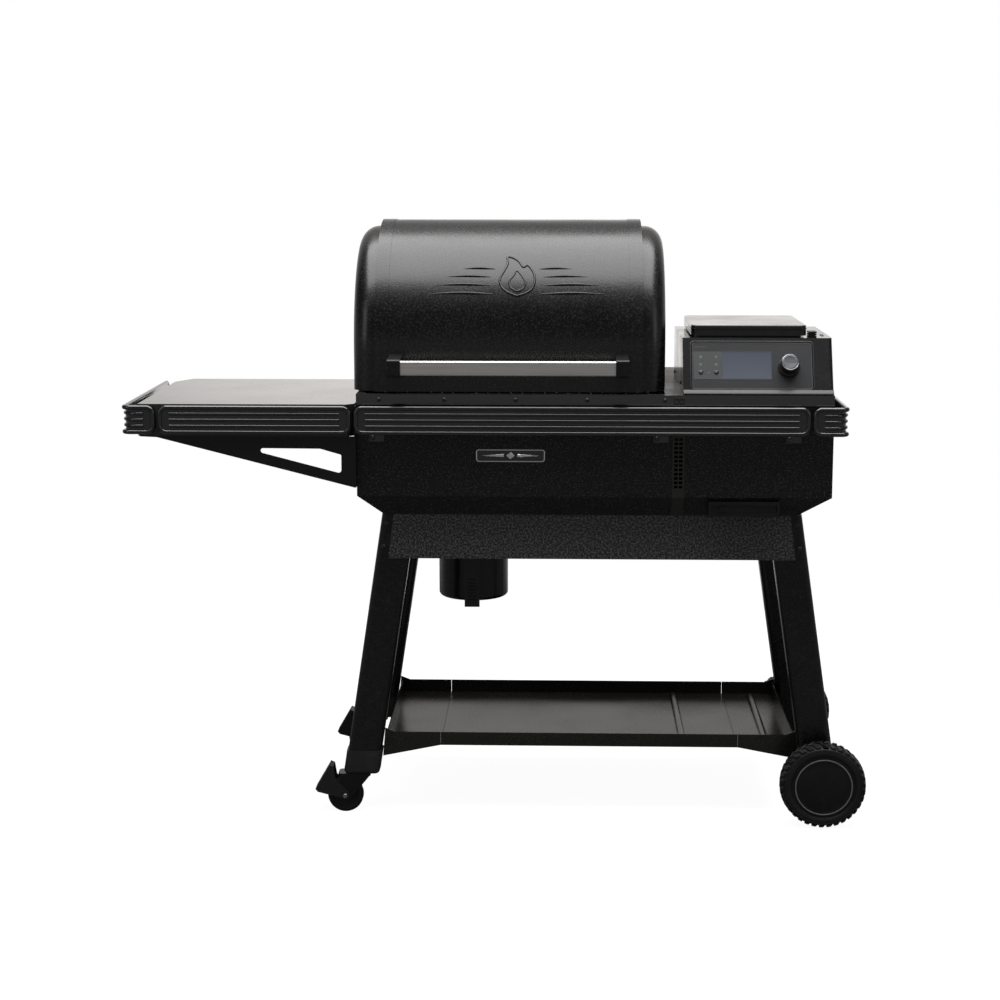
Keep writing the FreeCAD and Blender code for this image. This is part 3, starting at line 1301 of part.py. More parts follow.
def wheel_axle():
    """One steel axle with a cap nut at each end."""
    x, z = axle_at
    reach = wheel_track / 2 + wheel_width / 2 - 4
    shaft = rod("Y", x, (-reach, reach), z, axle_radius)
    nuts = [rod("Y", x, sorted([way * (reach - 0.6), way * (reach + 3)], key=lambda size: size.value), z, 9.5)
            for way in (-1, 1)]
    collars = [rod("Y", x, sorted([way * (leg_y + leg_depth / 2 + plate_gauge + 0.1),
                                   way * (wheel_track / 2 - wheel_width / 2 + 5.5)],
                                  key=lambda size: size.value), z, 9) for way in (-1, 1)]
    return fuse(shaft, *nuts, *collars)


name(big_wheel(-1), "front_wheel")
name(big_wheel(1), "rear_wheel")
name(wheel_axle(), "wheel_axle")

# ---------------------------------------------------------------- casters
cap_low = left_foot - cap_height
cap_span = leg_span(left_leg_top, -1, cap_low)
stem_x = (cap_span[0] + cap_span[1]) / 2
stem_top = cap_low + 33
caster_x = stem_x - caster_trail


def leg_cap(y):
    """Plastic foot under a left leg, with the socket for the caster's stem."""
    high = leg_span(left_leg_top, -1, left_foot)
    lip = 2.5
    block = plate("XZ", (y - leg_depth / 2 - lip, y + leg_depth / 2 + lip), [
        (cap_span[0] - lip, cap_low), (cap_span[1] + lip, cap_low),
        (high[1] + lip, left_foot), (high[0] - lip, left_foot)])
    corner = Vector(-lean_slope.value, 0, -1).normalize()
    upright = round_edges(round_edges(block, 12, along(corner)), 7, at_level(Z_AXIS, cap_low))
    return cut(upright, rod("Z", stem_x, y, (cap_low - 1, stem_top + 1), 6 + running))


def caster_fork(y):
    """Swivel fork: a stem, a crown plate, two cheeks and the wheel's pin."""
    crown_z = (cap_low - 7, cap_low - 1)
    stem = rod("Z", stem_x, y, (crown_z[0], stem_top), 6)
    crown_plate = plate("XY", crown_z, rectangle((caster_x - 14, stem_x + 18), (y - 18, y + 18), 8))
    half = caster_width / 2 + 1
    cheeks = [plate("XZ", limits, [(caster_x - 9, caster_radius - 9, 8), (caster_x + 9, caster_radius - 9, 8),
                                   (stem_x + 16, crown_z[0]), (caster_x - 13, crown_z[0])])
              for limits in ((y - half - plate_gauge, y - half), (y + half, y + half + plate_gauge))]
    pin = rod("Y", caster_x, (y - half - plate_gauge - 2, y + half + plate_gauge + 2), caster_radius, 4)
    return fuse(stem, crown_plate, *cheeks, pin)


def caster_wheel(y):
    """Tyre and hub of one caster, with rounded shoulders."""
    half = caster_width / 2
    tyre = round_edges(rod("Y", caster_x, (y - half, y + half), caster_radius, caster_radius), 4,
                       lambda edge: edge.Length > 5 * caster_radius.value)
    dish = [rod("Y", caster_x, sorted([y + way * (half - 3), y + way * (half + 1)], key=lambda size: size.value),
                caster_radius, caster_radius - 10) for way in (-1, 1)]
    hub = rod("Y", caster_x, (y - half, y + half), caster_radius, 9)
    return cut(fuse(cut(tyre, *dish), hub),
               rod("Y", caster_x, (y - half - 1, y + half + 1), caster_radius, 4 + running))


def brake_lever(y):
    """Foot lever on the wheel's pin: two arms outside the fork and a pedal behind the wheel."""
    inner = caster_width / 2 + 1 + plate_gauge + slack
    outer = inner + 1.5

    def shape(*spots):
        return [(caster_x + x, caster_radius + z, *rest) for x, z, *rest in spots]

    arms = [plate("XZ", sorted([y + way * inner, y + way * outer], key=lambda size: size.value),
                  shape((8, -8, 5), (8, 8, 5), (-20, 38), (-24, 62), (-32, 66), (-62, 14), (-57, 8), (-18, -2)))
            for way in (-1, 1)]
    pedal = plate("XZ", (y - outer, y + outer), shape((-24, 62), (-32, 66), (-62, 14), (-57, 8)))
    bore = rod("Y", caster_x, (y - outer - 1, y + outer + 1), caster_radius, 4 + running)
    return cut(fuse(*arms, pedal), bore)


name(group(leg_cap(-leg_y), leg_cap(leg_y)), "leg_caps")
for end, way in (("front", -1), ("rear", 1)):
    name(caster_fork(way * leg_y), f"{end}_caster_fork")
    name(caster_wheel(way * leg_y), f"{end}_caster_wheel")
    name(brake_lever(way * leg_y), f"{end}_brake_lever")

# ---------------------------------------------------------------- rear fittings and screws
def rear_fittings():
    """The slotted exhaust cover and the power inlet on the cabinet's back."""
    cover_z = (rim - 58, rim - 20)
    cover = plate("YZ", (pot_x - 96, pot_x + 96), [
        (back, cover_z[0]), (-handle_front, cover_z[0] + 6, 5), (-handle_front, cover_z[0] + 20, 5),
        (back, cover_z[1])])
    duct = box((pot_x - 88, pot_x + 88), (back - 1, -handle_front - 8), (rim - 50, rim - 40))
    slots = [box((pot_x - 88 + step * 18, pot_x - 80 + step * 18), (back + 4, -handle_front - 6),
                 (cover_z[0] - 1, cover_z[0] + 14)) for step in range(10)]
    inlet = cut(box((right - 80, right - 40), (back, back + 12), (rim - 74, rim - 46)),
                box((right - 74, right - 46), (back + 3, back + 13), (rim - 69, rim - 51)))
    plug_pins = [box((right - 60 + spot - 1, right - 60 + spot + 1), (back + 3, back + 10), (rim - 62, rim - 58))
                 for spot in (-8, 0, 8)]
    return group(cut(cover, duct, *slots), inlet, *plug_pins)


def frame_screws():
    """Round screw heads on the front band, the legs and the shelf bracket."""
    band = screws("Y", front - gauge, [(left + offset, rim - band_height / 2) for offset in
                                       (46, 176, 318, 460, 614)], 4.5)
    leg_face = -leg_y - leg_depth / 2
    leg_heads = []
    for top_x, side in ((left_leg_top, -1), (right_leg_top, 1)):
        for level in (apron_z[1] - 20, apron_z[0] + 24):
            outer = leg_span(top_x, side, level)[0 if side < 0 else 1] - side * 13
            leg_heads += screws("Y", leg_face, [(outer, level)], 4.2, 2)
    return group(*band, *leg_heads)


name(rear_fittings(), "rear_fittings")
name(frame_screws(), "frame_screws")


# ---------------------------------------------------------------- check and export
def export_all():
    """Recomputes, stops on any failed object or shape, then writes one STEP file per sub-part."""
    doc.recompute()
    failed = [thing.Name for thing in doc.Objects if {"Invalid", "Error"} & set(thing.State)]
    if failed:
        raise RuntimeError(f"features that failed: {failed}")
    os.makedirs("parts", exist_ok=True)
    for thing in PARTS:
        if thing.Shape.isNull() or not thing.Shape.isValid() or not thing.Shape.Solids:
            raise RuntimeError(f"{thing.Label} has no valid solid")
        thing.Shape.exportStep(f"parts/{thing.Label}.step")
    print(f"{len(PARTS)} sub-parts written")


export_all()
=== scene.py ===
"""Looks of a wheeled pellet smoker grill: its finishes, its small fittings and the studio round it."""

from math import atan2, cos, pi, radians, sin

import bpy
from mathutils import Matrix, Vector


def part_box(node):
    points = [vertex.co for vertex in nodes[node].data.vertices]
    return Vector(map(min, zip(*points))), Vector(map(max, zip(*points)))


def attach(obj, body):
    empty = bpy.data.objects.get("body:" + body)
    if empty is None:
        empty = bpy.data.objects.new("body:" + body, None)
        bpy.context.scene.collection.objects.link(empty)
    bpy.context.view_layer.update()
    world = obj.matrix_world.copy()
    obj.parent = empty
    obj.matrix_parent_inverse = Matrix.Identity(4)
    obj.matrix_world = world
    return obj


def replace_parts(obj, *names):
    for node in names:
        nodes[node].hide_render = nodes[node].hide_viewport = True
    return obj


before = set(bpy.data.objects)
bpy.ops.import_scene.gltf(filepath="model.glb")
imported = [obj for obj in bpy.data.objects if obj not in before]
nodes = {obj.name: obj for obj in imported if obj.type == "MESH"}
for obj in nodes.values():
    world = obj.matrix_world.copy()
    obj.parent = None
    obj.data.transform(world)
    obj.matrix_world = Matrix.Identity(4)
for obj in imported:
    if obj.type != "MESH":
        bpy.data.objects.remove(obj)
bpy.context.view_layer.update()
scene = bpy.context.scene
MM = 0.001


def box_of(node):
    """The lowest and highest corner of a CAD node, in millimetres."""
    low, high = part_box(node)
    return low / MM, high / MM


# ------------------------------------------------------------------ studio
lens = bpy.data.cameras.new("studio_camera")
lens.lens = 72
lens.sensor_width = 36
lens.clip_end = 100
camera = bpy.data.objects.new("studio_camera", lens)
camera.location = (0.1205, -4.215, 1.3445)
camera.rotation_euler = (radians(90 - 9.7037), 0, radians(1.6938))
scene.collection.objects.link(camera)
scene.camera = camera
scene.view_settings.view_transform = "Standard"
scene.view_settings.look = "None"


def ramp(node, stops, tinge=(1, 1, 1)):
    """Sets a colour ramp's greys, each with the same tinge."""
    elements = node.color_ramp.elements
    while len(elements) < len(stops):
        elements.new(0.5)
    for element, (position, value) in zip(elements, stops):
        element.position = position
    for element, (position, value) in zip(elements, stops):
        element.color = (*(value * part for part in tinge), 1)


def halved(tree, value):
    """Turns a direction's part from -1..1 to 0..1."""
    node = tree.nodes.new("ShaderNodeMath")
    node.operation = "MULTIPLY_ADD"
    node.inputs[1].default_value = 0.5
    node.inputs[2].default_value = 0.5
    tree.links.new(value, node.inputs[0])
    return node.outputs[0]


def studio_world():
    """White behind the grill; a bright back and top and a dim front for the reflections."""
    world = bpy.data.worlds.new("studio_world")
    world.use_nodes = True
    tree = world.node_tree
    tree.nodes.clear()
    output = tree.nodes.new("ShaderNodeOutputWorld")
    seen = tree.nodes.new("ShaderNodeBackground")
    seen.inputs["Color"].default_value = (1, 1, 1, 1)
    seen.inputs["Strength"].default_value = 1.0
    around = tree.nodes.new("ShaderNodeBackground")
    around.inputs["Strength"].default_value = 1.0
    switch = tree.nodes.new("ShaderNodeMixShader")
    path = tree.nodes.new("ShaderNodeLightPath")
    place = tree.nodes.new("ShaderNodeTexCoord")
    split = tree.nodes.new("ShaderNodeSeparateXYZ")
    height = tree.nodes.new("ShaderNodeValToRGB")
    ramp(height, ((0.0, 0.02), (0.35, 0.08), (0.5, 0.3), (0.6, 0.06), (0.82, 0.05), (0.92, 0.6), (1.0, 1.0)))
    depth = tree.nodes.new("ShaderNodeValToRGB")
    ramp(depth, ((0.0, 0.0), (0.7, 0.0), (0.86, 0.3), (0.95, 0.34), (0.982, 0.6), (0.994, 1.1), (1.0, 1.16)),
         (1.0, 0.965, 0.935))
    both = tree.nodes.new("ShaderNodeMix")
    both.data_type = "RGBA"
    both.blend_type = "ADD"
    both.inputs["Factor"].default_value = 1.0
    link = tree.links.new
    link(place.outputs["Generated"], split.inputs[0])
    link(halved(tree, split.outputs["Z"]), height.inputs[0])
    link(halved(tree, split.outputs["Y"]), depth.inputs[0])
    link(height.outputs["Color"], both.inputs["A"])
    link(depth.outputs["Color"], both.inputs["B"])
    link(both.outputs["Result"], around.inputs["Color"])
    link(path.outputs["Is Camera Ray"], switch.inputs[0])
    link(around.outputs[0], switch.inputs[1])
    link(seen.outputs[0], switch.inputs[2])
    link(switch.outputs[0], output.inputs[0])
    scene.world = world


def softbox(name, size, power, spot, aim):
    """A rectangular area light at a place, turned to look at another."""
    lamp = bpy.data.lights.new(name, "AREA")
    lamp.shape = "RECTANGLE"
    lamp.size, lamp.size_y = size
    lamp.energy = power
    holder = bpy.data.objects.new(name, lamp)
    holder.location = spot
    holder.rotation_euler = (Vector(aim) - Vector(spot)).to_track_quat("-Z", "Y").to_euler()
    scene.collection.objects.link(holder)


def studio_floor():
    """A plain pale floor under the wheels; its own light is for the camera alone."""
    bpy.ops.object.select_all(action="DESELECT")
    bpy.ops.mesh.primitive_plane_add(size=3.4, location=(0, 0, 0))
    floor = bpy.context.object
    floor.name = "studio_floor"
    paint = bpy.data.materials.new("pale_floor")
    paint.use_nodes = True
    tree = paint.node_tree
    shader = tree.nodes["Principled BSDF"]
    shader.inputs["Base Color"].default_value = (0.12, 0.12, 0.12, 1)
    shader.inputs["Roughness"].default_value = 0.9
    shader.inputs["Emission Color"].default_value = (1, 1, 1, 1)
    path = tree.nodes.new("ShaderNodeLightPath")
    level = tree.nodes.new("ShaderNodeMath")
    level.operation = "MULTIPLY"
    level.inputs[1].default_value = 0.95
    tree.links.new(path.outputs["Is Camera Ray"], level.inputs[0])
    tree.links.new(level.outputs[0], shader.inputs["Emission Strength"])
    floor.data.materials.append(paint)


studio_world()
studio_floor()
softbox("overhead_softbox", (3.4, 2.7), 145, (0.1, -0.12, 3.3), (0.1, -0.12, 0.9))
softbox("front_left_softbox", (1.4, 2.2), 12, (-2.8, -2.6, 2.2), (-0.1, 0, 0.7))
softbox("front_right_softbox", (1.0, 2.0), 8, (3.0, -2.2, 2.0), (0.3, 0, 0.7))


# ------------------------------------------------------------------ shared effects
def new_group(name, inputs, outputs):
    """An empty shader node group with named number inputs and outputs."""
    group = bpy.data.node_groups.new(name, "ShaderNodeTree")
    group.interface.new_socket("Vector", in_out="INPUT", socket_type="NodeSocketVector")
    for label, value in inputs:
        group.interface.new_socket(label, in_out="INPUT", socket_type="NodeSocketFloat").default_value = value
    for label in outputs:
        group.interface.new_socket(label, in_out="OUTPUT", socket_type="NodeSocketFloat")
    start = group.nodes.new("NodeGroupInput")
    end = group.nodes.new("NodeGroupOutput")
    return group, start, end


def noise(tree, vector, scale, detail=3.0, roughness=0.5):
    """A noise texture in a node tree; scale is a number or a socket."""
    texture = tree.nodes.new("ShaderNodeTexNoise")
    texture.inputs["Detail"].default_value = detail
    texture.inputs["Roughness"].default_value = roughness
    tree.links.new(vector, texture.inputs["Vector"])
    if isinstance(scale, (int, float)):
        texture.inputs["Scale"].default_value = scale
    else:
        tree.links.new(scale, texture.inputs["Scale"])
    return texture.outputs["Fac"]


def calc(tree, operation, first, second=0.5, third=0.5):
    """A math node in a node tree, from numbers or sockets."""
    node = tree.nodes.new("ShaderNodeMath")
    node.operation = operation
    for socket, value in zip(node.inputs, (first, second, third)):
        if isinstance(value, (int, float)):
            socket.default_value = value
        else:
            tree.links.new(value, socket)
    return node.outputs[0]


def spread(tree, value, low, high, new_low, new_high):
    """Maps a value from one range to another, held at the ends."""
    node = tree.nodes.new("ShaderNodeMapRange")
    node.clamp = True
    tree.links.new(value, node.inputs["Value"])
    for label, number in (("From Min", low), ("From Max", high), ("To Min", new_low), ("To Max", new_high)):
        if isinstance(number, (int, float)):
            node.inputs[label].default_value = number
        else:
            tree.links.new(number, node.inputs[label])
    return node.outputs["Result"]


def orange_peel_group():
    """Sprayed coat: fine speckle over soft dimples. Height for a bump, Speck for the shade."""
    group, start, end = new_group("orange_peel", [("Speck Size", 900.0), ("Dimple Size", 220.0),
                                                    ("Speck From", 0.52), ("Speck To", 0.7)],
                                  ["Height", "Speck"])
    specks = noise(group, start.outputs["Vector"], start.outputs["Speck Size"], 2.0, 0.6)
    dimples = noise(group, start.outputs["Vector"], start.outputs["Dimple Size"], 2.0, 0.5)
    rise = calc(group, "MULTIPLY_ADD", specks, 0.45, dimples)
    group.links.new(rise, end.inputs["Height"])
    group.links.new(spread(group, specks, start.outputs["Speck From"], start.outputs["Speck To"], 0.0, 1.0),
                    end.inputs["Speck"])
    return group


def handling_group():
    """Dust and faint smears: a soft mask that varies over a hand's width."""
    group, start, end = new_group("handling", [("Patch Size", 6.0), ("Dust Size", 70.0)], ["Smear", "Dust"])
    patch = noise(group, start.outputs["Vector"], start.outputs["Patch Size"], 4.0, 0.6)
    dust = noise(group, start.outputs["Vector"], start.outputs["Dust Size"], 5.0, 0.7)
    group.links.new(spread(group, patch, 0.35, 0.7, 0.0, 1.0), end.inputs["Smear"])
    settled = calc(group, "MULTIPLY", spread(group, dust, 0.5, 0.8, 0.0, 1.0),
                   spread(group, patch, 0.4, 0.65, 0.2, 1.0))
    group.links.new(settled, end.inputs["Dust"])
    return group


def brushed_group():
    """Fine parallel scratches along one axis, for brushed and rolled metal."""
    group, start, end = new_group("brushed_grain", [("Along", 6.0), ("Across", 900.0)], ["Height", "Streak"])
    combine = group.nodes.new("ShaderNodeCombineXYZ")
    group.links.new(start.outputs["Along"], combine.inputs["X"])
    group.links.new(start.outputs["Across"], combine.inputs["Y"])
    group.links.new(start.outputs["Across"], combine.inputs["Z"])
    stretch = group.nodes.new("ShaderNodeVectorMath")
    stretch.operation = "MULTIPLY"
    group.links.new(start.outputs["Vector"], stretch.inputs[0])
    group.links.new(combine.outputs[0], stretch.inputs[1])
    scratches = noise(group, stretch.outputs[0], 1.0, 4.0, 0.65)
    group.links.new(scratches, end.inputs["Height"])
    group.links.new(spread(group, scratches, 0.3, 0.7, 0.0, 1.0), end.inputs["Streak"])
    return group


orange_peel = orange_peel_group()
handling = handling_group()
brushed_grain = brushed_group()


# ------------------------------------------------------------------ finishes
def place_group(tree, group, vector, **values):
    """Puts a shared effect in a material with its own values."""
    node = tree.nodes.new("ShaderNodeGroup")
    node.node_tree = group
    tree.links.new(vector, node.inputs["Vector"])
    for label, value in values.items():
        node.inputs[label.replace("_", " ").title()].default_value = value
    return node


def shade(tree, factor, low, high):
    """A colour between two, by a mask."""
    node = tree.nodes.new("ShaderNodeMix")
    node.data_type = "RGBA"
    node.inputs["A"].default_value = (*low, 1)
    if isinstance(high, tuple):
        node.inputs["B"].default_value = (*high, 1)
    else:
        tree.links.new(high, node.inputs["B"])
    tree.links.new(factor, node.inputs["Factor"])
    return node.outputs["Result"]


def tint(tree, factor, below, colour):
    """Lays a colour over another socket's colour, by a mask."""
    node = tree.nodes.new("ShaderNodeMix")
    node.data_type = "RGBA"
    tree.links.new(below, node.inputs["A"])
    node.inputs["B"].default_value = (*colour, 1)
    tree.links.new(factor, node.inputs["Factor"])
    return node.outputs["Result"]


def bump(tree, height, strength, distance):
    """Turns a height into a surface normal."""
    node = tree.nodes.new("ShaderNodeBump")
    node.inputs["Strength"].default_value = strength
    node.inputs["Distance"].default_value = distance
    tree.links.new(height, node.inputs["Height"])
    return node.outputs["Normal"]


def start_finish(name):
    """A new material with its shader and the piece's own coordinates."""
    material = bpy.data.materials.new(name)
    material.use_nodes = True
    tree = material.node_tree
    shader = tree.nodes["Principled BSDF"]
    where = tree.nodes.new("ShaderNodeTexCoord").outputs["Object"]
    return material, tree, shader, where


def coated(name, colour, light, gloss, peel=0.25, depth=0.00012, speck_size=900.0, dimple_size=220.0,
           specks=(0.52, 0.7), dust=0.25, specular=0.5, lacquer=0.0):
    """Painted or powder-coated metal: speckled shade, uneven gloss and an orange-peel surface."""
    material, tree, shader, where = start_finish(name)
    peel_node = place_group(tree, orange_peel, where, speck_size=speck_size, dimple_size=dimple_size,
                            speck_from=specks[0], speck_to=specks[1])
    hands = place_group(tree, handling, where)
    base = shade(tree, peel_node.outputs["Speck"], colour, light)
    dusty = tint(tree, calc(tree, "MULTIPLY", hands.outputs["Dust"], dust * 0.35), base, (0.16, 0.155, 0.15))
    tree.links.new(dusty, shader.inputs["Base Color"])
    rough = spread(tree, hands.outputs["Smear"], 0.0, 1.0, gloss[0], gloss[1])
    tree.links.new(calc(tree, "MULTIPLY_ADD", peel_node.outputs["Speck"], 0.06, rough),
                   shader.inputs["Roughness"])
    shader.inputs["Specular IOR Level"].default_value = specular
    if lacquer:
        shader.inputs["Coat Weight"].default_value = lacquer
        shader.inputs["Coat Roughness"].default_value = 0.1
    tree.links.new(bump(tree, peel_node.outputs["Height"], peel, depth), shader.inputs["Normal"])
    return material


def bare_metal(name, colour, light, gloss, along=6.0, across=900.0, strength=0.15):
    """Brushed, rolled or ground metal: streaks along one axis in shade, gloss and surface."""
    material, tree, shader, where = start_finish(name)
    grain = place_group(tree, brushed_grain, where, along=along, across=across)
    hands = place_group(tree, handling, where)
    tree.links.new(shade(tree, grain.outputs["Streak"], colour, light), shader.inputs["Base Color"])
    shader.inputs["Metallic"].default_value = 1.0
    rough = spread(tree, hands.outputs["Smear"], 0.0, 1.0, gloss[0], gloss[1])
    tree.links.new(calc(tree, "MULTIPLY_ADD", grain.outputs["Streak"], 0.08, rough),
                   shader.inputs["Roughness"])
    tree.links.new(bump(tree, grain.outputs["Height"], strength, 0.0001), shader.inputs["Normal"])
    return material


def moulded(name, colour, light, gloss, grain_size=1400.0, depth=0.0001, strength=0.2, specular=0.5):
    """Moulded plastic or rubber: fine leathered grain and a slightly uneven gloss."""
    material, tree, shader, where = start_finish(name)
    peel_node = place_group(tree, orange_peel, where, speck_size=grain_size, dimple_size=grain_size / 3)
    hands = place_group(tree, handling, where)
    base = shade(tree, hands.outputs["Smear"], colour, light)
    dusty = tint(tree, calc(tree, "MULTIPLY", hands.outputs["Dust"], 0.08), base, (0.2, 0.19, 0.18))
    tree.links.new(dusty, shader.inputs["Base Color"])
    tree.links.new(spread(tree, peel_node.outputs["Speck"], 0.0, 1.0, gloss[0], gloss[1]),
                   shader.inputs["Roughness"])
    shader.inputs["Specular IOR Level"].default_value = specular
    tree.links.new(bump(tree, peel_node.outputs["Height"], strength, depth), shader.inputs["Normal"])
    return material


satin_coat = coated("satin_black_coat", (0.005, 0.005, 0.0052), (0.012, 0.012, 0.012), (0.34, 0.42),
                    peel=0.15, depth=0.0001, speck_size=500.0, specular=0.35)
cabinet_coat = coated("cabinet_speckled_coat", (0.0035, 0.0034, 0.0038), (0.062, 0.058, 0.056), (0.34, 0.46),
                      peel=0.7, depth=0.0003, speck_size=330.0, dimple_size=220.0, specks=(0.54, 0.68),
                      specular=0.32)
apron_coat = coated("apron_hammered_coat", (0.013, 0.0125, 0.0138), (0.12, 0.118, 0.12), (0.34, 0.46),
                    peel=0.7, depth=0.0004, speck_size=270.0, dimple_size=250.0, specks=(0.46, 0.6),
                    specular=0.4)
lid_coat = coated("lid_hammered_coat", (0.003, 0.003, 0.0032), (0.014, 0.0137, 0.0134), (0.22, 0.3),
                  peel=0.45, depth=0.0003, speck_size=280.0, dimple_size=240.0, specks=(0.5, 0.62),
                  specular=0.5)
leg_coat = coated("leg_textured_coat", (0.003, 0.003, 0.003), (0.012, 0.012, 0.0118), (0.22, 0.32),
                  peel=0.5, depth=0.0003, speck_size=330.0, dimple_size=260.0, specks=(0.5, 0.64),
                  specular=0.36)
shelf_coat = coated("side_shelf_coat", (0.02, 0.0195, 0.019), (0.028, 0.027, 0.026), (0.1, 0.15),
                    peel=0.03, depth=0.00004, speck_size=500.0, specular=0.4)
tray_coat = coated("lower_shelf_coat", (0.012, 0.0112, 0.0098), (0.024, 0.0225, 0.02), (0.2, 0.28),
                   peel=0.08, depth=0.00008, speck_size=380.0, specular=0.35)
rail_coat = coated("rail_black_coat", (0.004, 0.004, 0.004), (0.009, 0.009, 0.009), (0.16, 0.24),
                   peel=0.1, depth=0.00005, specular=0.6, lacquer=0.7)
vent_coat = coated("vent_olive_black", (0.011, 0.012, 0.008), (0.025, 0.026, 0.02), (0.35, 0.45), peel=0.2)
brushed_stainless = bare_metal("brushed_stainless", (0.62, 0.6, 0.59), (0.8, 0.78, 0.76), (0.36, 0.44))
bright_chrome = bare_metal("bright_chrome", (0.72, 0.72, 0.73), (0.82, 0.82, 0.83), (0.06, 0.12),
                           along=40.0, across=300.0, strength=0.03)
blackened_screw = coated("blackened_screw", (0.02, 0.02, 0.02), (0.05, 0.05, 0.05), (0.25, 0.35), peel=0.2)
panel_plastic = moulded("panel_dark_plastic", (0.03, 0.031, 0.033), (0.038, 0.039, 0.041), (0.3, 0.4),
                        specular=0.4)
dial_plastic = moulded("dial_black_plastic", (0.012, 0.012, 0.012), (0.02, 0.02, 0.02), (0.35, 0.5))
cap_plastic = moulded("foot_cap_plastic", (0.014, 0.014, 0.014), (0.024, 0.024, 0.024), (0.4, 0.55),
                      grain_size=900.0, strength=0.35, specular=0.35)
tyre_rubber = moulded("tyre_black_rubber", (0.008, 0.008, 0.008), (0.018, 0.018, 0.0175), (0.46, 0.62),
                      grain_size=700.0, depth=0.0002, strength=0.4, specular=0.3)
ground_steel = bare_metal("ground_steel", (0.36, 0.36, 0.36), (0.5, 0.5, 0.49), (0.3, 0.42), along=30.0)
zinc_sheet = bare_metal("galvanised_sheet", (0.42, 0.43, 0.44), (0.6, 0.61, 0.62), (0.34, 0.5),
                        along=25.0, across=60.0, strength=0.1)
cast_iron = coated("cast_iron", (0.03, 0.028, 0.027), (0.08, 0.075, 0.07), (0.55, 0.7), peel=0.6,
                   depth=0.0004,
                   speck_size=400.0, dimple_size=120.0)
grate_enamel = coated("grate_porcelain", (0.009, 0.009, 0.01), (0.03, 0.03, 0.03), (0.2, 0.3), peel=0.25)
keg_enamel = coated("keg_black_coat", (0.003, 0.003, 0.003), (0.008, 0.008, 0.008), (0.2, 0.3), peel=0.15,
                    specular=0.4)
hopper_coat = coated("hopper_black_enamel", (0.011, 0.0108, 0.011), (0.02, 0.02, 0.02), (0.14, 0.22),
                     peel=0.08, depth=0.00006, specular=0.4)
sill_satin = coated("sill_satin_enamel", (0.016, 0.016, 0.0165), (0.026, 0.026, 0.026), (0.28, 0.36),
                    peel=0.08,
                    depth=0.00005, specular=0.5)
band_enamel = coated("front_band_enamel", (0.005, 0.005, 0.0052), (0.01, 0.01, 0.01), (0.08, 0.14),
                     peel=0.05, depth=0.00005, specular=0.8, lacquer=1.0)


def display_finish():
    """Tinted window over a dark display, with painted shade: darker towards its top edge, lighter towards its
    lower edge.
    """
    material, tree, shader, where = start_finish("display_tint")
    split = tree.nodes.new("ShaderNodeSeparateXYZ")
    tree.links.new(where, split.inputs[0])
    low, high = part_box("display_glass")
    level = spread(tree, split.outputs["Z"], low.z, high.z, 0.0, 1.0)
    # painted shade: the glass's colour runs from lighter at its lower edge to darker at its top
    base = shade(tree, level, (0.1, 0.112, 0.145), (0.07, 0.08, 0.108))
    hands = place_group(tree, handling, where)
    smeared = tint(tree, calc(tree, "MULTIPLY", hands.outputs["Smear"], 0.12), base, (0.09, 0.1, 0.12))
    tree.links.new(smeared, shader.inputs["Base Color"])
    tree.links.new(spread(tree, hands.outputs["Smear"], 0.0, 1.0, 0.08, 0.16), shader.inputs["Roughness"])
    return material


display_tint = display_finish()

finish_of_nodes = {
    cabinet_coat: ["cabinet_shell"],
    lid_coat: ["lid_skin", "lid_end_caps"],
    leg_coat: ["left_legs", "right_legs", "hinge_brackets"],
    apron_coat: ["frame_aprons"],
    satin_coat: ["shelf_brackets", "lid_handle_brackets", "hopper_catch", "cleanout_frame", "cleanout_slide"],
    hopper_coat: ["hopper_housing", "hopper_lid"],
    band_enamel: ["front_band"],
    shelf_coat: ["side_shelf"],
    tray_coat: ["lower_shelf"],
    rail_coat: ["front_rail", "shelf_front_rail", "shelf_end_rail", "right_rail", "rail_standoffs"],
    vent_coat: ["vent_strip"],
    brushed_stainless: ["lid_handle_bar"],
    bright_chrome: ["badge_plate"],
    blackened_screw: ["frame_screws", "lid_hinge_leaves"],
    panel_plastic: ["control_panel", "left_button", "right_button", "rear_fittings"],
    display_tint: ["display_glass"],
    dial_plastic: ["dial_knob"],
    ground_steel: ["dial_shaft", "auger_screw", "wheel_axle", "heat_shield", "drip_tray",
                   "igniter_and_probe"],
    zinc_sheet: ["bay_divider", "hopper_bin", "auger_tube", "fan_housing", "fan_rotor"],
    cast_iron: ["fire_pot", "auger_motor"],
    grate_enamel: ["main_grate", "upper_grate"],
    cap_plastic: ["leg_caps", "keg_latch", "front_brake_lever", "rear_brake_lever"],
    tyre_rubber: ["front_wheel", "rear_wheel", "front_caster_wheel", "rear_caster_wheel"],
    keg_enamel: ["grease_keg", "keg_collar", "front_caster_fork", "rear_caster_fork"],
}
for finish, members in finish_of_nodes.items():
    for member in members:
        nodes[member].data.materials.clear()
        nodes[member].data.materials.append(finish)


# ------------------------------------------------------------------ bench tools
def begin(name):
    """Names the new primitive and drops into edit mode with nothing selected."""
    piece = bpy.context.object
    piece.name = name
    piece.data.name = name
    bpy.ops.object.mode_set(mode="EDIT")
    bpy.ops.mesh.select_all(action="DESELECT")
    bpy.ops.object.mode_set(mode="OBJECT")
    return piece


def clear_selection():
    """Leaves nothing selected."""
    if bpy.context.object and bpy.context.object.mode != "OBJECT":
        bpy.ops.object.mode_set(mode="OBJECT")
    bpy.ops.object.select_all(action="DESELECT")


def finish_piece(piece, material, body, angle=35):
    """Smooths a piece by angle, gives it its finish and lets it ride on a body."""
    clear_selection()
    piece.select_set(True)
    bpy.context.view_layer.objects.active = piece
    bpy.ops.object.transform_apply(location=True, rotation=True, scale=True)
    bpy.ops.object.shade_smooth_by_angle(angle=radians(angle))
    piece.data.materials.clear()
    piece.data.materials.append(material)
    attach(piece, body)
    return piece


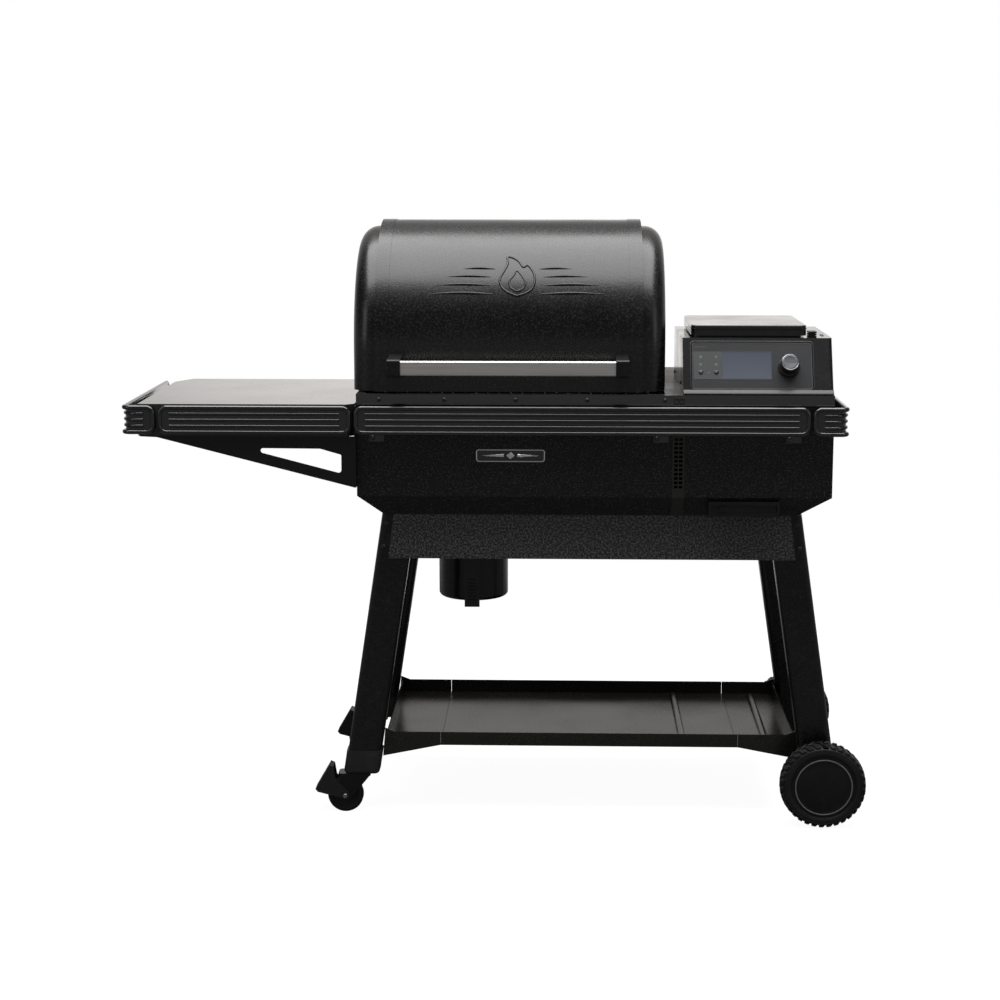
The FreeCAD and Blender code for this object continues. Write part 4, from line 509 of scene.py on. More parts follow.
def apply_bevel(piece, width, segments=2, angle=40):
    """Rounds a piece's sharp edges and applies it."""
    clear_selection()
    piece.select_set(True)
    bpy.context.view_layer.objects.active = piece
    edge = piece.modifiers.new("rounded", "BEVEL")
    edge.width = width * MM
    edge.segments = segments
    edge.limit_method = "ANGLE"
    edge.angle_limit = radians(angle)
    edge.harden_normals = False
    bpy.ops.object.modifier_apply(modifier=edge.name)


def turned(name, profile, centre, axis, steps=64):
    """Spins a closed loop of (radius, along) points about an axis, as on a lathe."""
    clear_selection()
    axis = Vector(axis).normalized()
    side = axis.orthogonal().normalized()
    centre = Vector(centre) * MM
    bpy.ops.mesh.primitive_circle_add(vertices=len(profile), radius=0.01)
    piece = begin(name)
    for corner, (radius, along) in zip(piece.data.vertices, profile):
        corner.co = centre + side * radius * MM + axis * along * MM
    bpy.ops.object.mode_set(mode="EDIT")
    bpy.ops.mesh.select_all(action="SELECT")
    bpy.ops.mesh.spin(steps=steps, angle=2 * pi, center=centre, axis=axis)
    bpy.ops.mesh.select_all(action="SELECT")
    bpy.ops.mesh.remove_doubles(threshold=2e-6)
    bpy.ops.mesh.dissolve_degenerate(threshold=1e-6)
    bpy.ops.mesh.normals_make_consistent(inside=False)
    bpy.ops.object.mode_set(mode="OBJECT")
    return piece


def pressed_sheet(name, outline, thickness, place):
    """A flat shape from its (across, up) corners, extruded outwards; place(across, out, up) puts it."""
    clear_selection()
    bpy.ops.mesh.primitive_circle_add(vertices=len(outline), radius=0.01, fill_type="NGON")
    piece = begin(name)
    for corner, (across, up) in zip(piece.data.vertices, outline):
        corner.co = place(across, 0, up)
    bpy.ops.object.mode_set(mode="EDIT")
    bpy.ops.mesh.select_all(action="SELECT")
    outward = place(0, thickness, 0) - place(0, 0, 0)
    bpy.ops.mesh.extrude_region_move(TRANSFORM_OT_translate={"value": outward})
    bpy.ops.mesh.select_all(action="SELECT")
    bpy.ops.mesh.normals_make_consistent(inside=False)
    bpy.ops.object.mode_set(mode="OBJECT")
    return piece


def rounded_outline(across, up, radius, steps=6):
    """Corner points of a rectangle with round corners."""
    points = []
    for x, z, start in ((across[1], up[1], 0), (across[0], up[1], 90), (across[0], up[0], 180),
                        (across[1], up[0], 270)):
        mid_x = x - radius if x == across[1] else x + radius
        mid_z = z - radius if z == up[1] else z + radius
        for step in range(steps + 1):
            turn = radians(start + 90 * step / steps)
            points.append((mid_x + radius * cos(turn), mid_z + radius * sin(turn)))
    return points


def frame_ring(name, outer, inner, thickness, place):
    """A flat ring between two outlines of the same number of points."""
    clear_selection()
    count = len(outer)
    bpy.ops.mesh.primitive_circle_add(vertices=count, radius=0.01)
    piece = begin(name)
    for corner, (across, up) in zip(piece.data.vertices, outer):
        corner.co = place(across, 0, up)
    bpy.ops.object.mode_set(mode="EDIT")
    bpy.ops.mesh.select_all(action="SELECT")
    bpy.ops.mesh.extrude_edges_move()
    bpy.ops.object.mode_set(mode="OBJECT")
    fresh = [corner for corner in piece.data.vertices if corner.select]
    for corner, (across, up) in zip(fresh, inner):
        corner.co = place(across, 0, up)
    bpy.ops.object.mode_set(mode="EDIT")
    bpy.ops.mesh.select_all(action="SELECT")
    outward = place(0, thickness, 0) - place(0, 0, 0)
    bpy.ops.mesh.extrude_region_move(TRANSFORM_OT_translate={"value": outward})
    bpy.ops.mesh.select_all(action="SELECT")
    bpy.ops.mesh.normals_make_consistent(inside=False)
    bpy.ops.object.mode_set(mode="OBJECT")
    return piece


def join(name, pieces):
    """Makes one piece of several."""
    clear_selection()
    for piece in pieces:
        piece.select_set(True)
    bpy.context.view_layer.objects.active = pieces[0]
    if len(pieces) > 1:
        bpy.ops.object.join()
    pieces[0].name = name
    pieces[0].data.name = name
    return pieces[0]


def clusters(node, reach):
    """The boxes of a CAD node's separate lumps: corners nearer than reach belong together."""
    lumps = []
    for corner in nodes[node].data.vertices:
        spot = corner.co / MM
        for lump in lumps:
            if all(lump[0][i] - reach < spot[i] < lump[1][i] + reach for i in range(3)):
                lump[0] = Vector(map(min, lump[0], spot))
                lump[1] = Vector(map(max, lump[1], spot))
                break
        else:
            lumps.append([spot.copy(), spot.copy()])
    return lumps


# ------------------------------------------------------------------ transport wheels
def tyre_lug(name, centre, radius, row):
    """One slanted tread block on the tyre's crown."""
    clear_selection()
    bpy.ops.mesh.primitive_cube_add(size=1)
    lug = begin(name)
    low, high = (1.5, 21.5) if row else (-21.5, -1.5)
    lean = 3.2 if row else -3.2
    for corner in lug.data.vertices:
        x, y, z = corner.co * 2
        along = high if y > 0 else low
        narrow = 4.6 if z > 0 else 5.6
        shoulder = abs(along) > 10
        top = radius - (3.0 if shoulder else 0.4)
        corner.co = Vector((centre[0] + x * narrow + (lean if y > 0 else -lean), centre[1] + along,
                            centre[2] + (top if z > 0 else radius - 8))) * MM
    return lug


def transport_wheel(name, way, body):
    """Moulded wheel with a lugged tyre, a dished face, a thin bright ring and a flat hub cover."""
    low, high = box_of(name)
    centre = ((low.x + high.x) / 2, (low.y + high.y) / 2, (low.z + high.z) / 2)
    half = (high.y - low.y) / 2
    radius = (high.z - low.z) / 2
    axis = (0, way, 0)
    tyre = turned(name + "_tyre", [
        (6.3, half - 14), (6.3, -half + 6), (16, -half + 6), (17, -half + 24), (60, -half + 26),
        (66, -half + 3), (68, -half + 1), (72, -half), (79, -half + 1.5), (radius - 6.5, -half + 6),
        (radius - 4.4, -half + 13), (radius - 3.6, -half + 20), (radius - 3.6, half - 20),
        (radius - 4.4, half - 13), (radius - 6.5, half - 6), (79, half - 1.2), (76.5, half - 0.2),
        (75.5, half - 0.9), (74.5, half - 0.2), (70, half), (66.5, half - 1.2), (65.4, half - 3.4),
                                   (64, half - 4.2),
        (60.2, half - 3.4), (60, half - 5.5), (20, half - 8), (12, half - 14)], centre, axis, 96)
    lugs = []
    for row in (0, 1):
        lug = tyre_lug(name + "_lug", centre, radius, row)
        apply_bevel(lug, 0.9, 1)
        bpy.ops.object.mode_set(mode="EDIT")
        bpy.ops.mesh.select_all(action="SELECT")
        middle = Vector(centre) * MM
        if row:
            bpy.ops.transform.rotate(value=pi / 34, orient_axis="Y", center_override=middle)
        bpy.ops.mesh.spin(steps=34, angle=2 * pi, center=middle, axis=(0, 1, 0), dupli=True)
        bpy.ops.object.mode_set(mode="OBJECT")
        lugs.append(lug)
    wheel = join(name + "_tyre", [tyre, *lugs])
    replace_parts(finish_piece(wheel, tyre_rubber, body), name)
    cover = turned(name + "_cover", [
        (0, half - 0.9), (0, half - 4.5), (59.6, half - 4.5), (59.6, half - 2.6), (58, half - 2.1),
        (52, half - 1.7), (50.6, half - 2.0), (49.5, half - 1.5), (20, half - 1.0)], centre, axis, 96)
    finish_piece(cover, hub_plastic, body)
    ring = turned(name + "_bright_ring", [
        (55.9, half - 2.4), (58.3, half - 2.6), (58.3, half - 1.3), (57.7, half - 0.9), (56.5, half - 0.9),
        (55.9, half - 1.3)], centre, axis, 96)
    finish_piece(ring, satin_ring, body)


def caster_wheel(name, body):
    """Caster wheel: a ribbed tread, stepped sides and a bolt head."""
    low, high = box_of(name)
    centre = ((low.x + high.x) / 2, (low.y + high.y) / 2, (low.z + high.z) / 2)
    half = (high.y - low.y) / 2
    radius = (high.z - low.z) / 2
    tyre = turned(name + "_tyre", [
        (4.1, -half + 0.2), (8.6, -half + 0.2), (9, -half + 1.2), (9, -half + 3.2), (22, -half + 3.6),
        (26.5, -half + 2.4), (27.5, -half + 0.6), (30, -half), (33.5, -half + 0.8), (36, -half + 3),
        (radius, -half + 6.5), (radius, -1.2), (radius - 0.8, -0.8), (radius - 0.8, 0.8), (radius, 1.2),
        (radius, half - 6.5), (36, half - 3), (33.5, half - 0.8), (30, half), (27.5, half - 0.6),
                                   (26.5, half - 2.4),
        (22, half - 3.6), (9, half - 3.2), (9, half - 1.2), (8.6, half - 0.2), (4.1, half - 0.2)],
        centre, (0, 1, 0), 72)
    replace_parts(finish_piece(tyre, tyre_rubber, body), name)


satin_ring = bare_metal("wheel_satin_ring", (0.3, 0.3, 0.3), (0.38, 0.38, 0.38), (0.4, 0.5), along=80.0,
                        across=300.0)
hub_plastic = moulded("hub_cover_plastic", (0.005, 0.005, 0.0055), (0.008, 0.008, 0.0085), (0.3, 0.4),
                      grain_size=1100.0, strength=0.12, specular=0.3)
transport_wheel("front_wheel", -1, "front_wheel")
transport_wheel("rear_wheel", 1, "rear_wheel")
caster_wheel("front_caster_wheel", "front_caster_wheel")
caster_wheel("rear_caster_wheel", "rear_caster_wheel")


# ------------------------------------------------------------------ control panel
house_front = box_of("hopper_housing")[0].y
deck_level = box_of("hopper_housing")[0].z
panel_tilt = radians(27)
slope_up = Vector((0, sin(panel_tilt), cos(panel_tilt)))
slope_out = Vector((0, -cos(panel_tilt), sin(panel_tilt)))


def on_panel(across, out, up):
    """A place on the panel's slope: across and up it, and out from the faceplate, in metres."""
    return (Vector((across, house_front, deck_level)) + slope_out * out + slope_up * up) * MM


def panel_axis_of(node):
    """Where a round control's axis meets the faceplate: across and up the slope."""
    low, high = box_of(node)
    middle = (low + high) / 2 - Vector((0, house_front, deck_level))
    return (low.x + high.x) / 2, middle.dot(slope_up)


panel_low, panel_high = box_of("control_panel")
plate_x = (panel_low.x, panel_high.x)
plate_foot = panel_axis_of("dial_knob")[1] - 47
plate_up = (plate_foot, plate_foot + 99)
glass_x = (box_of("display_glass")[0].x, box_of("display_glass")[1].x)
glass_up = (plate_foot + 21, plate_foot + 80)
icon_paint = moulded("icon_pale_print", (0.22, 0.23, 0.24), (0.34, 0.35, 0.36), (0.4, 0.5))
icon_field_plastic = moulded("icon_field_smoke", (0.075, 0.08, 0.08), (0.09, 0.096, 0.096), (0.22, 0.3))
dial_cap_satin = bare_metal("dial_cap_satin", (0.12, 0.124, 0.132), (0.17, 0.175, 0.182), (0.34, 0.42),
                            along=60.0,
                            across=500.0)
dial_ring_satin = bare_metal("dial_ring_satin", (0.34, 0.345, 0.355), (0.42, 0.425, 0.43), (0.22, 0.3),
                             along=60.0,
                             across=400.0)
# painted highlight: the faceplate's edge line is coloured lighter than the plate, standing in for light
# caught on its rounded edge
panel_edge_highlight = moulded("panel_edge_painted_highlight", (0.07, 0.072, 0.078), (0.1, 0.102, 0.108), (0.28, 0.36))


def control_dial():
    """The dial: a wide foot, a grip with fine teeth, a bright ring and a slightly hollow cap."""
    across, up = panel_axis_of("dial_knob")
    centre = on_panel(across, 0, up) / MM
    low_reach, foot_reach, reach, radius = 2.2, 8, 30, 21.5
    grip = radius - 3.6
    body = turned("dial_grip", [
        (3.3, low_reach), (radius - 0.6, low_reach), (radius, low_reach + 0.8),
                                (radius - 0.1, foot_reach - 2),
        (radius - 1.2, foot_reach - 0.4), (grip + 1, foot_reach + 0.4), (grip + 0.2, foot_reach + 1.4),
        (grip - 0.1, reach - 4), (grip - 0.5, reach - 3), (grip - 1.4, reach - 2.6), (3.3, reach - 2.6)],
        centre, slope_out, 96)
    bpy.ops.object.mode_set(mode="EDIT")
    bpy.ops.mesh.select_all(action="DESELECT")
    bpy.ops.object.mode_set(mode="OBJECT")
    middle, axis = Vector(centre) * MM, slope_out
    for face in body.data.polygons:
        offset = face.center - middle
        out = offset.dot(axis)
        wide = (offset - axis * out).length
        turn = atan2(offset.x, offset.dot(slope_up))
        ridge = int(round((turn + pi) / (2 * pi) * 96)) % 2 == 0
        on_flank = (foot_reach + 1.6) * MM < out < (reach - 4.2) * MM
        face.select = ridge and on_flank and wide > (grip - 1) * MM
    bpy.ops.object.mode_set(mode="EDIT")
    bpy.ops.mesh.select_mode(type="FACE")
    bpy.ops.mesh.inset(thickness=0.0002, depth=0.00035, use_individual=True)
    bpy.ops.object.mode_set(mode="OBJECT")
    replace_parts(finish_piece(body, dial_plastic, "dial"), "dial_knob")
    ring = turned("dial_bright_ring", [
        (grip - 2.6, reach - 2.5), (grip - 0.7, reach - 2.5), (grip - 0.5, reach - 1.9),
                                       (grip - 1.2, reach - 0.7),
        (grip - 2, reach - 0.2), (grip - 2.5, reach - 0.4)], centre, slope_out, 96)
    finish_piece(ring, dial_ring_satin, "dial")
    cap = turned("dial_cap", [
        (0, reach - 2.5), (grip - 2.7, reach - 2.5), (grip - 2.7, reach - 0.9), (grip - 3.4, reach - 0.6),
        (grip - 6, reach - 0.9), (0, reach - 1.3)], centre, slope_out, 64)
    finish_piece(cap, dial_cap_satin, "dial")


def press_button(node, body, pointer):
    """A domed button with a thin pale ring and a small raised mark."""
    across, up = panel_axis_of(node)
    centre = on_panel(across, 0, up) / MM
    dome = turned(node + "_dome", [
        (0, -12.6), (6, -12.6), (6, -11.2), (4.5, -11.2), (4.5, 0.6), (4.2, 1.2), (3.6, 1.5), (0, 1.75)],
        centre, slope_out, 48)
    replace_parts(finish_piece(dome, dial_plastic, body), node)
    rim = turned(node + "_rim", [(3.5, 1.35), (4.25, 1.05), (4.3, 1.3), (3.6, 1.75)], centre, slope_out, 48)
    finish_piece(rim, dial_cap_satin, body)
    mark = pressed_sheet(node + "_mark", [(across + x * pointer, up + z) for x, z in
                                          ((-1.2, -1.6), (1.5, 0), (-1.2, 1.6))], 2.1, on_panel)
    finish_piece(mark, icon_paint, body)


def faceplate_details():
    """Edge line with a painted highlight, smoked icon field, pale generic marks and the glass's thin border.
    """
    edge = frame_ring("faceplate_edge", rounded_outline((plate_x[0] + 0.4, plate_x[1] - 0.4),
                                                        (plate_up[0] + 0.4, plate_up[1] - 0.4), 5.6),
                      rounded_outline((plate_x[0] + 1.7, plate_x[1] - 1.7),
                                      (plate_up[0] + 1.7, plate_up[1] - 1.7),
                                      4.6), 0.5, on_panel)
    apply_bevel(edge, 0.2, 1)
    finish_piece(edge, panel_edge_highlight, "grill")
    field = pressed_sheet("icon_field",
                          rounded_outline((plate_x[0] + 3, glass_x[0] - 0.6), glass_up, 1.2), 0.3,
                          on_panel)
    for node in ("left_button", "right_button"):
        across, up = panel_axis_of(node)
        drill = turned("button_hole", [(0, -1), (5, -1), (5, 1), (0, 1)], on_panel(across, 0, up) / MM,
                       slope_out, 48)
        hole = field.modifiers.new("hole", "BOOLEAN")
        hole.operation, hole.object, hole.solver = "DIFFERENCE", drill, "EXACT"
        clear_selection()
        field.select_set(True)
        bpy.context.view_layer.objects.active = field
        bpy.ops.object.modifier_apply(modifier=hole.name)
        bpy.data.objects.remove(drill)
    finish_piece(field, icon_field_plastic, "grill")
    border = frame_ring("display_border", rounded_outline((glass_x[0] - 0.5, glass_x[1] + 0.9),
                                                          (glass_up[0] - 0.9, glass_up[1] + 0.9), 1.6),
                        rounded_outline((glass_x[0] + 0.3, glass_x[1] - 0.1),
                                        (glass_up[0] + 0.1, glass_up[1] - 0.1),
                                        1.0), 0.45, on_panel)
    finish_piece(border, icon_field_plastic, "grill")
    marks = []
    left_x, right_x = panel_axis_of("left_button")[0], panel_axis_of("right_button")[0]
    for index, (x, z) in enumerate(((left_x, 68.5), (right_x, 68.5), (left_x, 52.5), (right_x, 52.5))):
        z += plate_foot
        circle = [(x + 2.6 * cos(radians(30 * k)), z + 2.6 * sin(radians(30 * k))) for k in range(12)]
        hole = [(x + 1.9 * cos(radians(30 * k)), z + 1.9 * sin(radians(30 * k))) for k in range(12)]
        marks.append(frame_ring(f"icon_{index}", circle, hole, 0.5, on_panel))
        inner = [(x + 0.8 * cos(radians(45 * k)), z + 0.8 * sin(radians(45 * k))) for k in range(8)]
        marks.append(pressed_sheet(f"icon_core_{index}", inner, 0.5, on_panel))
    middle_x = (left_x + right_x) / 2
    marks.append(pressed_sheet("icon_between", [(middle_x + x, plate_foot + 35 + z) for x, z in
                                                ((-1.3, 0), (0, -1.3), (1.3, 0), (0, 1.3))], 0.5, on_panel))
    for step in range(5):
        x = plate_x[0] + 8 + step * 5
        marks.append(pressed_sheet(f"lamp_{step}", [(x + 0.8 * cos(radians(45 * k)),
                                                     plate_foot + 89.5 + 0.8 * sin(radians(45 * k)))
                                                    for k in range(8)], 0.4, on_panel))
    finish_piece(join("panel_marks", marks), icon_paint, "grill")


control_dial()
press_button("left_button", "left_button", -1)
press_button("right_button", "right_button", 1)
faceplate_details()


# ------------------------------------------------------------------ lid relief, badge and small fittings
lid_low, lid_high = box_of("lid_skin")
bend_radius = 252
bend_y, bend_z = lid_low.y + bend_radius, lid_high.z - bend_radius


def on_lid(across, out, along):
    """A place on the lid's front bend: along is measured up the sheet from where the bend starts."""
    turn = along / bend_radius
    return Vector((across, bend_y - (bend_radius + out) * cos(turn),
                   bend_z + (bend_radius + out) * sin(turn))) * MM


def raised_line(name, points, widths):
    """A pressed line on the lid: a bar of changing width, half sunk in the sheet."""
    curve = bpy.data.curves.new(name, "CURVE")
    curve.dimensions = "3D"
    curve.bevel_depth = 0.001
    curve.bevel_resolution = 2
    curve.resolution_u = 8
    curve.use_fill_caps = True
    spline = curve.splines.new("NURBS")
    spline.points.add(len(points) - 1)
    for spot, (across, along), width in zip(spline.points, points, widths):
        spot.co = (*on_lid(across, 0.1, along), 1)
        spot.radius = width
    spline.order_u = 3
    spline.use_endpoint_u = True
    line = bpy.data.objects.new(name, curve)
    scene.collection.objects.link(line)
    clear_selection()
    line.select_set(True)
    bpy.context.view_layer.objects.active = line
    bpy.ops.object.convert(target="MESH")
    return bpy.context.object


def lid_relief():
    """A generic flame pressed in the lid between two fans of tapering lines."""
    middle = (lid_low.x + lid_high.x) / 2 + 16
    flame = [(0, 0), (-26, 8), (-38, 34), (-24, 60), (-18, 78), (-22, 96), (2, 84), (12, 62), (20, 74),
             (34, 52),
             (36, 26), (24, 6), (0, 0)]
    heart = [(0, 10), (-13, 14), (-18, 32), (-6, 46), (-2, 60), (10, 44), (18, 28), (12, 13), (0, 10)]
    base = 112
    lines = [raised_line("flame_outline", [(middle + x, base + z) for x, z in flame], [2.6] * len(flame)),
             raised_line("flame_heart", [(middle + x, base + z) for x, z in heart], [2.1] * len(heart))]
    for side in (-1, 1):
        for step, (start, length) in enumerate(((48, 128), (54, 112), (52, 92), (44, 66))):
            height = base + 4 + step * 19
            reach = [start + length * part for part in (0, 0.25, 0.5, 0.75, 1)]
            lines.append(raised_line(f"fan_{side}_{step}", [(middle + side * x, height + rise) for x, rise in
                                                            zip(reach, (0, 1.5, 2.4, 1.6, 0))],
                                     [1.0, 2.8, 3.1, 2.2, 0.4]))
    finish_piece(join("lid_relief", lines), lid_coat, "lid", 60)


def name_plate():
    """A plain badge: bright border, dark field, a small gem and two tapering bars."""
    low, high = box_of("badge_plate")
    back = high.y

    def place(across, out, up):
        """A place given across, out from the face and up."""
        return Vector((across, back - out, up)) * MM
    depth = high.y - low.y
    field = pressed_sheet("badge_field", rounded_outline((low.x + 1, high.x - 1), (low.z + 1, high.z - 1), 5),
                          depth * 0.6, place)
    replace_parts(finish_piece(field, rail_coat, "grill"), "badge_plate")
    border = frame_ring("badge_border", rounded_outline((low.x, high.x), (low.z, high.z), 6),
                        rounded_outline((low.x + 2.4, high.x - 2.4), (low.z + 2.4, high.z - 2.4), 4),
                        depth, place)
    apply_bevel(border, 0.5, 2)
    finish_piece(border, bright_chrome, "grill")
    middle, level = (low.x + high.x) / 2, (low.z + high.z) / 2
    tall = (high.z - low.z) * 0.22
    reach = (high.x - low.x) / 2 - 12
    bars = [pressed_sheet("badge_gem", [(middle - tall * 1.5, level), (middle, level - tall * 1.2),
                                        (middle + tall * 1.5, level), (middle, level + tall * 1.2)],
                          depth * 0.92, place)]
    for side in (-1, 1):
        bars.append(pressed_sheet(f"badge_bar_{side}", [
            (middle + side * tall * 2.4, level - tall * 0.5), (middle + side * reach, level - 0.4),
            (middle + side * reach, level + 0.4), (middle + side * tall * 2.4, level + tall * 0.5)],
            depth * 0.92, place))
    for bar in bars:
        apply_bevel(bar, 0.3, 1)
    finish_piece(join("badge_bars", bars), bright_chrome, "grill")


def screw_head(name, centre, axis, radius, rise):
    """Domed screw with a socket, seated in a thin washer."""
    return turned(name, [(radius * 0.42, rise * 0.2), (0, rise * 0.2), (0, -0.4), (radius * 1.15, -0.4),
                         (radius * 1.15, 0.25), (radius * 1.02, 0.45), (radius * 0.9, rise * 0.55),
                         (radius * 0.66, rise * 0.9), (radius * 0.48, rise), (radius * 0.42, rise * 0.9)],
                  centre, axis, 24)


def front_screws():
    """Screws where the CAD has its plain heads: along the band and on the legs."""
    heads = []
    for number, (low, high) in enumerate(clusters("frame_screws", 3)):
        radius = (high.x - low.x) / 2
        centre = ((low.x + high.x) / 2, high.y, (low.z + high.z) / 2)
        heads.append(screw_head(f"screw_{number}", centre, (0, -1, 0), radius / 1.15, high.y - low.y))
    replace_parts(finish_piece(join("front_screws", heads), blackened_screw, "grill"),
                "frame_screws")


def lid_buffers():
    """Two small rubber buffers under the lid's front edge."""
    level = box_of("front_band")[1].z
    under = lid_low.z
    pieces = []
    for x in (-199, 231):
        pieces.append(turned("buffer", [(0, 0.3), (7, 0.3), (7.2, 1), (6, under - level - 0.9),
                                        (5, under - level - 0.4),
                                        (0, under - level - 0.4)], (x, lid_low.y + 8, level), (0, 0, 1), 24))
    return pieces


lid_relief()
name_plate()
front_screws()
finish_piece(join("lid_buffers", lid_buffers()), tyre_rubber, "grill")


# ------------------------------------------------------------------ hopper, keg and caster fittings
def catch_screws():
    """Two dark screws on the hopper's top beside the catch."""
    lid = box_of("hopper_lid")
    house = box_of("hopper_housing")
    x = (lid[1].x + house[1].x) / 2 + 3
    heads = [screw_head("catch_screw", (x + 9, lid[0].y + spot, house[1].z), (0, 0, 1), 3.4, 1.9)
             for spot in (52, 66)]
    finish_piece(join("catch_screws", heads), blackened_screw, "grill")


def side_screws():
    """Screws on the hopper's sides and its back."""
    house = box_of("hopper_housing")
    heads = []
    for y in (house[0].y + 96, house[1].y - 26):
        for x, way in ((house[0].x, -1), (house[1].x, 1)):
            heads.append(screw_head("side_screw", (x, y, house[0].z + 14), (way, 0, 0), 3.4, 1.9))
    for x in (house[0].x + 22, (house[0].x + house[1].x) / 2, house[1].x - 22):
        heads.append(screw_head("back_screw", (x, house[1].y, house[0].z + 14), (0, 1, 0), 3.4, 1.9))
    finish_piece(join("hopper_screws", heads), blackened_screw, "grill")


def handle_screws():
    """A screw on the outer end of each handle bracket."""
    low, high = box_of("lid_handle_brackets")
    bar = box_of("lid_handle_bar")
    level = (bar[0].z + bar[1].z) / 2
    heads = [screw_head("handle_screw", (x, (bar[0].y + bar[1].y) / 2, level), (way, 0, 0), 3.6, 1.6)
             for x, way in ((low.x, -1), (high.x, 1))]
    finish_piece(join("handle_screws", heads), blackened_screw, "lid")


def caster_bolts():
    """Bolt heads on the pins of the casters."""
    for end in ("front", "rear"):
        fork = box_of(f"{end}_caster_fork")
        wheel = box_of(f"{end}_caster_wheel")
        x, z = (wheel[0].x + wheel[1].x) / 2, (wheel[0].z + wheel[1].z) / 2
        heads = [turned("caster_bolt",
                        [(0, -0.3), (4.6, -0.3), (4.6, 1.6), (3.8, 2.4), (2.1, 2.4), (1.9, 1.2),
                                        (0, 1.2)], (x, fork[side].y, z), (0, way, 0), 24)
                 for side, way in ((0, -1), (1, 1))]
        finish_piece(join(f"{end}_caster_bolts", heads), ground_steel, f"{end}_caster")


def along_x(start):
    """A placer that reads (back, up) corners of a section and runs it along X."""
    def place(back, along, up):
        """A place given across, out from the face and up."""
        return Vector((start + along, back, up)) * MM
    return place


def panel_sill():
    """The housing's swept sill: a strip below the faceplate that leans out towards the front band."""
    house = box_of("hopper_housing")
    inset, top = 0.6, plate_foot - 1.6
    section = [(0.2, 0.6), (3.1, 0.6), (3.2, 1.4), (2.3, top * 0.45), (1.3, top * 0.8), (0.7, top),
               (0.2, top)]

    def place(out, along, up):
        """A place given across, out from the face and up."""
        return on_panel(house[0].x + inset + along, out, up)
    width = house[1].x - house[0].x - 2 * inset
    finish_piece(pressed_sheet("panel_sill", section, width, place), sill_satin, "grill", 30)


def panel_surround():
    """A thin lip on the housing round the faceplate."""
    gap, lip = 1.2, 2.6
    outer = rounded_outline((plate_x[0] - gap - lip, plate_x[1] + gap + lip),
                            (plate_up[0] - gap - 0.2, plate_up[1] + gap + lip), 8)
    inner = rounded_outline((plate_x[0] - gap, plate_x[1] + gap),
                            (plate_up[0] - gap + 1.4, plate_up[1] + gap), 6.5)
    ring = frame_ring("panel_surround", outer, inner, 0.9, on_panel)
    apply_bevel(ring, 0.35, 2)
    finish_piece(ring, sill_satin, "grill")


def lid_rim():
    """The hopper lid's rolled edge: a slim bead round its sides, below the top."""
    low, high = box_of("hopper_lid")
    top = high.z

    def place(across, out, back):
        """A place given across, out from the face and up."""
        return Vector((across, back, top - 8 + out)) * MM
    bead = 0.7
    outer = rounded_outline((low.x - bead, high.x + bead), (low.y - bead, low.y + 236), 14)
    inner = rounded_outline((low.x + 1.5, high.x - 1.5), (low.y + 1.5, low.y + 234), 12)
    ring = frame_ring("hopper_lid_bead", outer, inner, 2.4, place)
    apply_bevel(ring, 0.6, 2)
    finish_piece(ring, hopper_coat, "hopper_lid")


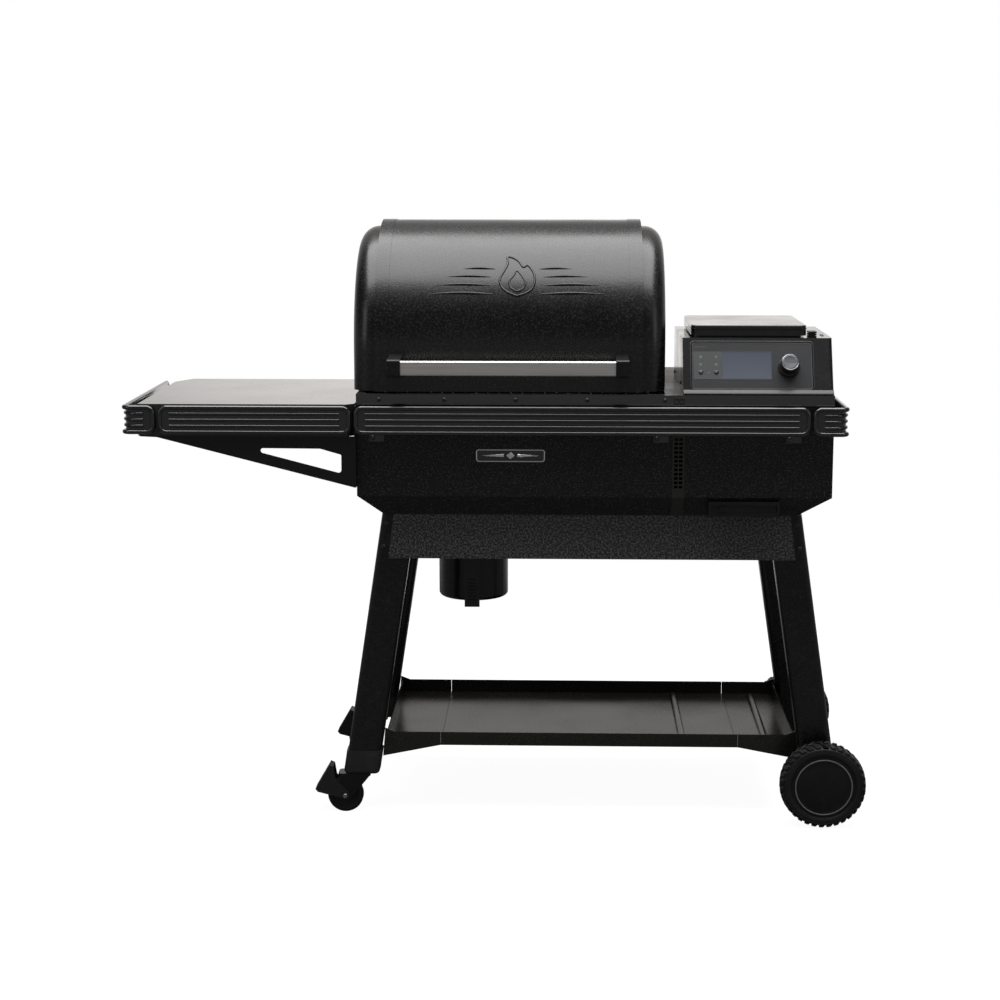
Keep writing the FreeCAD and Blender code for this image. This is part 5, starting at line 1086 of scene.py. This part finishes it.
def deck_seams():
    """Two fine seams that carry the vent strip's edges over the band and across the deck."""
    vent, shell, band = box_of("vent_strip"), box_of("cabinet_shell"), box_of("front_band")
    strips = []
    for x in (vent[0].x, vent[1].x - 1.2):
        if box_of("lid_end_caps")[1].x < x:
            strips.append(pressed_sheet("deck_seam", [(shell[0].y + 1, shell[1].z - 0.2),
                                                      (shell[1].y - 1, shell[1].z - 0.2),
                                                      (shell[1].y - 1, shell[1].z + 0.35),
                                                      (shell[0].y + 1, shell[1].z + 0.35)], 1.2, along_x(x)))
    finish_piece(join("deck_seams", strips), satin_coat, "grill")
    cover = []

    def on_band(across, out, up):
        """A place on the band, given across, out and up."""
        return Vector((across, band[0].y - out, up)) * MM
    level = (band[0].z + band[1].z) / 2 - 3
    middle = (vent[0].x + vent[1].x) / 2
    for side in (-1, 1):
        x = middle + side * 5.5
        cover.append(frame_ring("band_vent", rounded_outline((x - 5.2, x + 5.2), (level - 6, level + 6), 1.0),
                                rounded_outline((x - 3.4, x + 3.4), (level - 2.6, level + 2.6), 0.8), 0.5,
                                on_band))
    finish_piece(join("band_vents", cover), vent_coat, "grill")


def tray_joint_strips():
    """Dark strips under the lower shelf's two joints, which close the gaps between its pans."""
    shell, tray = box_of("cabinet_shell"), box_of("lower_shelf")
    strips = []
    for seam in (shell[0].x + 162, shell[1].x - 172):
        under = min(corner.co.z / MM for corner in nodes["lower_shelf"].data.vertices
                    if abs(corner.co.x / MM - seam) < 1.5)
        strips.append(pressed_sheet("tray_strip", [(tray[0].y + 4, under - 1.2), (tray[1].y - 4, under - 1.2),
                                                   (tray[1].y - 4, under - 0.1),
                                                   (tray[0].y + 4, under - 0.1)],
                                    14, along_x(seam - 7)))
    finish_piece(join("tray_joint_strips", strips), satin_coat, "grill")


def rail_bolts():
    """A domed bolt over each plain head on the tabs below the front rail."""
    heads = []
    for low, high in clusters("rail_standoffs", 3):
        if 5 < high.x - low.x < 10 and high.z - low.z < 10:
            middle = ((low.x + high.x) / 2, high.y, (low.z + high.z) / 2)
            heads.append(screw_head("rail_bolt", middle, (0, -1, 0), 4.8, 3.4))
    finish_piece(join("rail_bolts", heads), blackened_screw, "grill")


def latch_grip():
    """Moulded ribs on the keg's latch."""
    low, high = box_of("keg_latch")
    middle = (low.x + high.x) / 2

    def place(across, out, up):
        """A place given across, out from the face and up."""
        return Vector((across, low.y - out, up)) * MM
    ribs = [pressed_sheet("latch_rib", rounded_outline((middle - 9, middle + 9), (low.z + 14 + 7 * step, low.z + 17 + 7 * step), 1.2, 3),
                          0.9, place) for step in range(7)]
    for rib in ribs:
        apply_bevel(rib, 0.3, 1)
    finish_piece(join("latch_ribs", ribs), cap_plastic, "keg_latch")


catch_screws()
side_screws()
handle_screws()
caster_bolts()
panel_sill()
panel_surround()
lid_rim()
deck_seams()
rail_bolts()
latch_grip()
tray_joint_strips()
